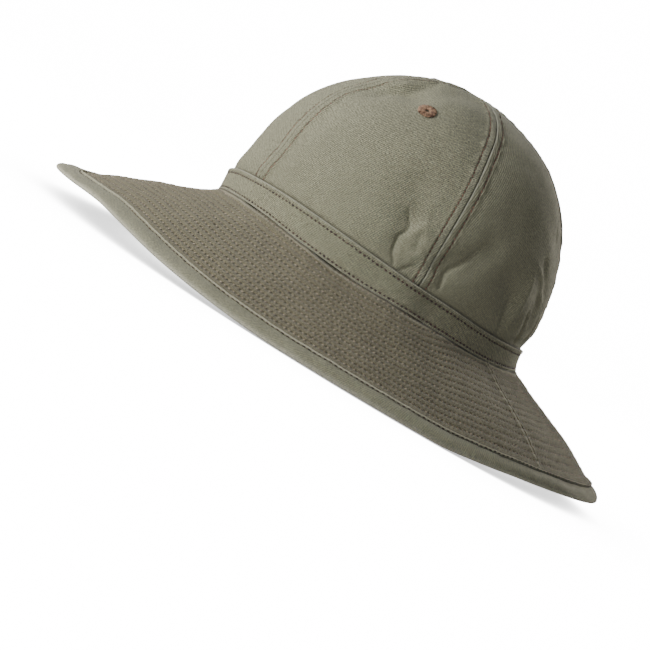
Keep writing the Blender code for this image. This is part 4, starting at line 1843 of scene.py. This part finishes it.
@dataclass
class Binding:
    """The plain strip folded round the edge of the brim, sewn in the ditch at its inner edge."""

    form: HatForm
    twill: bpy.types.Material
    thread: bpy.types.Material
    roll_height: float = 0.00100
    roll_place: float = 0.00048
    roll_width: float = 0.00029
    row_place: float = 0.00125
    row_width: float = 0.00032
    row_depth: float = 0.00045
    row_lift: float = 0.00005
    edge_reach: float = 0.6
    swell: float = 0.00030
    puff: float = 0.00090
    clearance: float = 0.00010
    step: float = 0.002
    columns: int = 640
    steps: tuple[float, ...] = (
        0.0, 0.015, 0.03, 0.045, 0.06, 0.075, 0.095, 0.115, 0.135, 0.155, 0.19, 0.25, 0.34, 0.45, 0.57, 0.68,
        0.79, 0.90, 1.0,
    )
    nose_steps: int = 8
    row_step: int = 5
    length_step: int = 9

    def outline(self, turn: Array) -> tuple[Array, Array, Array]:
        """The binding's closed section at every turn.

        Args:
            turn: the turns.

        Returns:
            Points of the shape (steps, turns, 3), the distance from the inner edge, and the upward
            normals.
        """
        run0 = self.form.binding_run(turn)
        share = np.array(self.steps)[:, None]
        run = run0 + (1.0 - run0) * share
        top = self.form.brim(turn, run)
        out = unit(self.form.brim(turn, np.ones_like(turn)) - self.form.brim(turn, run0))
        along = unit(self.form.brim_end(turn + self.step) - self.form.brim_end(turn - self.step))
        up = unit(np.cross(out, along))
        up = np.where(up[..., 2:] < 0, -up, up)
        width = np.linalg.norm(top[-1] - top[0], axis=-1)
        away = share * width
        radius = self.form.binding_wall / 2
        away = away * (1 - self.edge_reach * radius / width)
        true = self.form.brim(turn, run0 + (1.0 - run0) * away / width)
        lift = 1.0 + 0.30 * smooth_step(95.0, 125.0, self.form.side_degrees(turn))
        height = self.roll_height * lift * bump(away, self.roll_place, self.roll_width)
        height = height - self.row_depth * bump(away, self.row_place, self.row_width)
        dome = np.clip((away - self.row_place) / (width - self.row_place), 0, 1)
        height = height + self.puff * np.sin(math.pi * dome ** 1.25) ** 0.9
        height = height + ripple(true, 0.016, 41) * self.swell * smooth_step(0.0, 0.003, away)
        height = height + ripple(true, 0.005, 42) * 0.00016 * bump(away, self.row_place, 0.003)
        upper = true + up * height[..., None]
        angle = np.linspace(0.0, math.pi, self.nose_steps + 2)[1:-1, None, None]
        centre = true[-1] - up * radius
        nose = centre + out * np.sin(angle) * radius + up * np.cos(angle) * radius
        under = (true - up * 2 * radius)[::-1]
        section = np.concatenate([upper, nose, under])
        section[..., 2] = np.maximum(section[..., 2], self.clearance)
        return section, away, up

    def build(self) -> list[bpy.types.Object]:
        """Makes the binding and its row of stitches.

        Returns:
            The pieces.
        """
        turn = np.linspace(math.tau, 0.0, self.columns, endpoint=False)
        section, away, up = self.outline(turn)
        steps = section.shape[0]
        path = np.concatenate([section, section[:1]])
        across = np.concatenate([np.zeros((1, self.columns)), np.cumsum(
            np.linalg.norm(np.diff(path, axis=0), axis=-1), axis=0)])
        across = np.concatenate([across, across[:, :1]], axis=1)
        round_length = loop_length(section[self.length_step])
        grain = np.stack([np.broadcast_to(round_length, across.shape), across], axis=-1)
        worn = np.zeros((steps, self.columns))
        groove = np.zeros_like(worn)
        face = len(self.steps)
        # A painted highlight round the rounded edge and along the roll, stronger towards the back. Painted
        # shade in the ditch and along the stitch row.
        worn += 0.80 * bump(np.arange(steps), face + self.nose_steps / 2, 3.5)[:, None]
        rearward = 0.55 + 0.75 * smooth_step(50.0, 115.0, self.form.side_degrees(turn))
        worn[:face] += rearward * bump(away, self.roll_place, 0.9 * self.roll_width)
        groove[:face] = 0.7 * bump(away, 0.0, 0.0002) + 0.8 * bump(away, self.row_place, self.row_width)
        spread = {"worn": worn.ravel(), "groove": groove.ravel()}
        grid = ClothGrid(section, {"Grain": grain}, spread, close_rows=True, close_columns=True)
        binding = grid.build("binding_cloth", self.twill)
        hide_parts("brim_edge")
        line = section[self.row_step] + up * self.row_lift
        rows = Stitching(pitch=0.0031, length=0.0019, width=0.00080, height=0.00045, seed=15)
        sewn = rows.sew("binding_stitches", [(line, up, True)], self.thread)
        return [binding, sewn]


@dataclass
class Eyelet:
    """An eyelet of thread sewn over and over round a small hole."""

    crown: Crown
    name: str
    turn: float
    panel: bpy.types.Object
    thread: bpy.types.Material
    rise: float = 0.803
    radius: float = 0.0050
    bore: float = 0.0013
    rope_height: float = 0.0009
    threads: int = 46
    thread_width: float = 0.00052
    seat_height: float = 0.0004
    cutter_depth: float = 0.02
    seed: int = 23

    def frame(self) -> Matrix:
        """The place on the crown, with Z along the outward normal and Y up the crown.

        Returns:
            The matrix.
        """
        turn, rise = np.array([self.turn]), np.array([self.rise])
        normal = Vector(self.crown.normal(turn, rise)[0])
        side = Vector((math.cos(self.turn), math.sin(self.turn), 0.0))
        up = normal.cross(side).normalized()
        side = up.cross(normal)
        matrix = Matrix((side, up, normal)).transposed().to_4x4()
        matrix.translation = Vector(self.crown.form.crown(turn, rise)[0])
        return matrix

    def tree(self) -> bpy.types.NodeTree:
        """The node tree that lays arched threads over a ring, built at the first call.

        Returns:
            The tree.
        """
        known = bpy.data.node_groups.get("Eyelet threads")
        if known:
            return known
        sizes = ("Ring radius", "Half width", "Arch height", "Thread radius")
        graph = ThreadTree("Eyelet threads", [
            ("Core", "Geometry"), *((label, "Float") for label in sizes),
            ("Threads", "Int"), ("Seed", "Int"), ("Thread", "Material"),
        ], "Eyelet")
        given = graph.given
        ring = graph.add("GeometryNodeCurvePrimitiveCircle",
                         {"Resolution": given["Threads"], "Radius": given["Ring radius"]}, mode="RADIUS")
        arc = graph.add("GeometryNodeCurveArc", {
            "Resolution": 7, "Radius": 1.0, "Start Angle": 0.0, "Sweep Angle": math.pi,
        }, mode="RADIUS")
        extent = graph.add("ShaderNodeCombineXYZ", {
            "X": given["Half width"], "Y": given["Arch height"], "Z": 1.0,
        })
        arched = graph.add("GeometryNodeTransform", {"Geometry": arc.outputs[0], "Scale": extent.outputs[0]})
        stood = graph.add("GeometryNodeTransform", {
            "Geometry": arched.outputs[0], "Rotation": (math.pi / 2, 0.0, math.pi / 2),
        })
        cut = graph.add("GeometryNodeCurvePrimitiveCircle",
                        {"Resolution": 5, "Radius": given["Thread radius"]}, mode="RADIUS")
        strand = graph.add("GeometryNodeCurveToMesh",
                           {"Curve": stood.outputs[0], "Profile Curve": cut.outputs[0], "Fill Caps": True})
        turned = graph.turned((0.0, 0.0, 1.0), graph.between(-0.10, 0.10, given["Seed"]))
        size = graph.between(0.92, 1.10, graph.math("ADD", given["Seed"], 5.0))
        laid = graph.add("GeometryNodeInstanceOnPoints", {
            "Points": ring.outputs[0], "Instance": strand.outputs[0], "Rotation": turned, "Scale": size,
        })
        real = graph.add("GeometryNodeRealizeInstances", {"Geometry": laid.outputs[0]})
        whole = graph.add("GeometryNodeJoinGeometry")
        graph.feed(whole.inputs[0], given["Core"])
        graph.feed(whole.inputs[0], real.outputs[0])
        return graph.finish(whole.outputs[0])

    def core(self, half_width: float) -> bpy.types.Object:
        """The padded ring under the threads, as an object in its own frame.

        Args:
            half_width: half the ring's width.

        Returns:
            The ring.
        """
        mesh = bpy.data.meshes.new(self.name + "_threads")
        shape = bmesh.new()
        around, over = 48, 10
        middle = self.radius - half_width
        ring = []
        for i in range(around):
            angle = math.tau * i / around
            loop = []
            for j in range(over):
                tilt = math.tau * j / over
                reach = middle + 0.90 * half_width * math.cos(tilt)
                level = 0.80 * self.rope_height * math.sin(tilt)
                loop.append(shape.verts.new((reach * math.cos(angle), reach * math.sin(angle), level)))
            ring.append(loop)
        for i in range(around):
            for j in range(over):
                a, b = ring[i], ring[(i + 1) % around]
                shape.faces.new((a[j], b[j], b[(j + 1) % over], a[(j + 1) % over]))
        bmesh.ops.recalc_face_normals(shape, faces=shape.faces)
        shape.to_mesh(mesh)
        shape.free()
        piece = bpy.data.objects.new(mesh.name, mesh)
        bpy.context.scene.collection.objects.link(piece)
        return piece

    def pierce(self) -> None:
        """Cuts the hole through the panel's cloth."""
        cutter = bpy.data.meshes.new("hole")
        shape = bmesh.new()
        bmesh.ops.create_cone(shape, cap_ends=True, segments=24, radius1=self.bore, radius2=self.bore,
                              depth=self.cutter_depth, matrix=self.frame())
        shape.to_mesh(cutter)
        shape.free()
        tool = bpy.data.objects.new("hole", cutter)
        bpy.context.scene.collection.objects.link(tool)
        cut = self.panel.modifiers.new("Hole", "BOOLEAN")
        cut.operation = "DIFFERENCE"
        cut.solver = "EXACT"
        cut.object = tool
        plain_mesh(self.panel)
        bpy.data.objects.remove(tool)
        bpy.data.meshes.remove(cutter)

    def build(self) -> list[bpy.types.Object]:
        """Cuts the hole and lays the threads round it.

        Returns:
            The piece.
        """
        self.pierce()
        half_width = (self.radius - self.bore) / 2
        piece = harden(self.core(half_width), self.tree(), {
            "Ring radius": self.radius - half_width, "Half width": half_width,
            "Arch height": self.rope_height, "Thread radius": self.thread_width / 2,
            "Threads": self.threads, "Seed": self.seed, "Thread": self.thread,
        })
        piece.data.transform(self.frame() @ Matrix.Translation((0.0, 0.0, self.seat_height)))
        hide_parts(self.name)
        return [piece]


@dataclass
class Studio:
    """A pale floor, soft light from the front of the hat, and the camera at its left side."""

    target: tuple[float, float, float] = (0.0, 0.0, 0.05406)
    distance: float = 1.5
    elevation: float = 1.7
    roll: float = 31.5
    pixels_per_metre: float = 1815.0
    target_pixel: tuple[float, float] = (368.0, 266.0)
    frame_size: float = 650.0
    sensor: float = 36.0
    floor_radius: float = 12.0
    lamp_distance: float = 1.7
    lamp_size: float = 0.7
    sky_light: float = 0.012
    floor_light: float = 0.012
    white: float = 16.0

    def camera(self) -> bpy.types.Object:
        """The camera, tilted over so that the hat stands askew in the picture.

        Returns:
            The camera.
        """
        raise_by = math.radians(self.elevation)
        backward = Vector((math.cos(raise_by), 0.0, math.sin(raise_by)))
        level = Vector((0.0, 1.0, 0.0))
        upright = backward.cross(level)
        cos, sin = math.cos(math.radians(self.roll)), math.sin(math.radians(self.roll))
        right = level * cos + upright * sin
        up = upright * cos - level * sin
        focus = self.pixels_per_metre * self.distance
        over = self.frame_size / 2 - self.target_pixel[0]
        down = self.frame_size / 2 - self.target_pixel[1]
        forward = (-backward * focus + right * over - up * down).normalized()
        right = (right - forward * right.dot(forward)).normalized()
        up = right.cross(forward)
        lens = bpy.data.cameras.new("camera")
        lens.sensor_width = self.sensor
        lens.lens = focus / self.frame_size * self.sensor
        lens.clip_start = 0.05
        camera = bpy.data.objects.new("camera", lens)
        turned = Matrix((right, up, -forward)).transposed().to_4x4()
        turned.translation = Vector(self.target) + backward * self.distance
        camera.matrix_world = turned
        bpy.context.scene.collection.objects.link(camera)
        bpy.context.scene.camera = camera
        return camera

    def lamp(self, row: LampRow) -> None:
        """Hangs a soft square lamp aimed at the crown, which the camera doesn't see.

        Args:
            row: the lamp's row in the table.
        """
        t, e = math.radians(row.turn), math.radians(row.height)
        way = Vector((math.sin(t) * math.cos(e), -math.cos(t) * math.cos(e), math.sin(e)))
        light = bpy.data.lights.new(row.name, "AREA")
        light.shape = "SQUARE"
        light.size = self.lamp_size
        light.energy = row.power
        light.color = row.colour
        lamp = bpy.data.objects.new(row.name, light)
        turned = way.to_track_quat("Z", "Y").to_matrix().to_4x4()
        lamp.matrix_world = Matrix.Translation(way * self.lamp_distance + Vector(self.target)) @ turned
        lamp.visible_camera = False
        bpy.context.scene.collection.objects.link(lamp)

    def sky(self) -> None:
        """A white surround that lights the hat only dimly."""
        world = bpy.data.worlds.new("surround")
        world.use_nodes = True
        bpy.context.scene.world = world
        graph = Graph(world.node_tree)
        world.node_tree.nodes.clear()
        dim = graph.add("ShaderNodeBackground", {"Color": (0.93, 0.97, 1.0, 1.0), "Strength": self.sky_light})
        white = graph.add("ShaderNodeBackground", {"Color": (1.0, 1.0, 1.0, 1.0), "Strength": self.white})
        seen = graph.add("ShaderNodeLightPath").outputs["Is Camera Ray"]
        both = graph.add("ShaderNodeMixShader", {0: seen, 1: dim.outputs[0], 2: white.outputs[0]})
        graph.add("ShaderNodeOutputWorld", {"Surface": both.outputs[0]})

    def floor(self) -> bpy.types.Object:
        """A wide pale disc that glows white to the camera. Its glow is dimmed under and near the hat as a
        painted contact shadow.

        Returns:
            The floor.
        """
        mesh = bpy.data.meshes.new("floor")
        shape = bmesh.new()
        bmesh.ops.create_circle(shape, cap_ends=True, segments=96, radius=self.floor_radius)
        shape.to_mesh(mesh)
        shape.free()
        finish = bpy.data.materials.new("pale floor")
        finish.use_nodes = True
        graph = Graph(finish.node_tree)
        shader = finish.node_tree.nodes["Principled BSDF"]
        shader.inputs["Base Color"].default_value = (0.5, 0.5, 0.5, 1.0)
        shader.inputs["Roughness"].default_value = 1.0
        shader.inputs["Specular IOR Level"].default_value = 0.0
        shader.inputs["Emission Color"].default_value = (1.0, 1.0, 1.0, 1.0)
        seen = graph.add("ShaderNodeLightPath").outputs["Is Camera Ray"]
        # Occlusion dims the glow that the camera sees, which paints a contact shadow round the hat.
        open_sky = graph.add("ShaderNodeAmbientOcclusion", {"Distance": 0.16}).outputs["AO"]
        glow = graph.math("MULTIPLY", graph.math("MULTIPLY", seen, open_sky), self.white - 0.15)
        graph.feed(shader.inputs["Emission Strength"], graph.math("ADD", glow, self.floor_light))
        mesh.materials.append(finish)
        floor = bpy.data.objects.new("floor", mesh)
        bpy.context.scene.collection.objects.link(floor)
        return floor

    def build(self) -> None:
        """Sets up the camera, the lamps, the surround and the floor."""
        self.camera()
        for row in LAMPS:
            self.lamp(row)
        self.sky()
        self.floor()


OLIVE = TwillFinish("Olive twill", colour=(0.303, 0.292, 0.198))
# A copy of the olive twill for the back panels, with weaker grain contrast and shallower ribs. The weaker
# contrast stands in for the shade they lie in.
SHADED_BACK_OLIVE = TwillFinish(
    "Calm olive twill", colour=(0.303, 0.292, 0.198), rib_contrast=0.70, speck_contrast=0.50,
    rib_depth=0.00018,
)
BINDING_OLIVE = TwillFinish(
    "Soft olive twill", colour=(0.305, 0.293, 0.198), worn=(0.64, 0.61, 0.47), rib_contrast=0.60,
    speck_contrast=0.60, rib_depth=0.00020,
)
STITCHED_OLIVE = TwillFinish(
    "Quilted olive twill", colour=(0.198, 0.175, 0.106), worn=(0.40, 0.37, 0.27), pucker_depth=0.00062,
    rib_contrast=0.90, speck_contrast=0.95,
)
SEAM_THREAD = ThreadFinish("Russet seam thread", colour=(0.042, 0.018, 0.011), pale=(0.33, 0.185, 0.12))
BAND_THREAD = ThreadFinish("Dark brown band thread", colour=(0.022, 0.011, 0.007), pale=(0.085, 0.042, 0.027))
QUILT_THREAD = ThreadFinish("Brown quilting thread", colour=(0.17, 0.115, 0.075), pale=(0.58, 0.455, 0.34))
EYELET_THREAD = ThreadFinish("Copper eyelet thread", colour=(0.13, 0.055, 0.028), pale=(0.52, 0.32, 0.19))


def triangles(piece: bpy.types.Object) -> int:
    """How many triangles a piece has."""
    piece.data.calc_loop_triangles()
    return len(piece.data.loop_triangles)


def main() -> None:
    """Builds the hat piece by piece, then the studio, and logs each piece's triangle count."""
    logging.basicConfig(level=logging.INFO, format="%(message)s")
    form = HatForm()
    twills = (OLIVE, SHADED_BACK_OLIVE, BINDING_OLIVE, STITCHED_OLIVE)
    olive, calm, soft, stitched = [finish.material() for finish in twills]
    threads = (SEAM_THREAD, BAND_THREAD, QUILT_THREAD, EYELET_THREAD)
    seam_thread, band_thread, quilt_thread, eyelet_thread = [finish.material() for finish in threads]
    crown = Crown(form, olive, calm, seam_thread)
    pieces = crown.build()
    by_name = {piece.name: piece for piece in pieces}
    pieces += Band(form, olive, band_thread).build()
    pieces += Brim(form, stitched, quilt_thread).build()
    pieces += Binding(form, soft, band_thread).build()
    for side, sign in (("left", 1.0), ("right", -1.0)):
        panel = by_name["crown_cloth_" + side]
        turn = sign * math.radians(EYELET_DEGREES)
        pieces += Eyelet(crown, "eyelet_" + side, turn, panel, eyelet_thread).build()
    for piece in pieces:
        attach(piece, "root")
        log.info("%s: %d triangles", piece.name, triangles(piece))
    log.info("all pieces: %d triangles", sum(triangles(piece) for piece in pieces))
    Studio().build()
    bpy.context.view_layer.update()


if __name__ == "__main__":
    main()
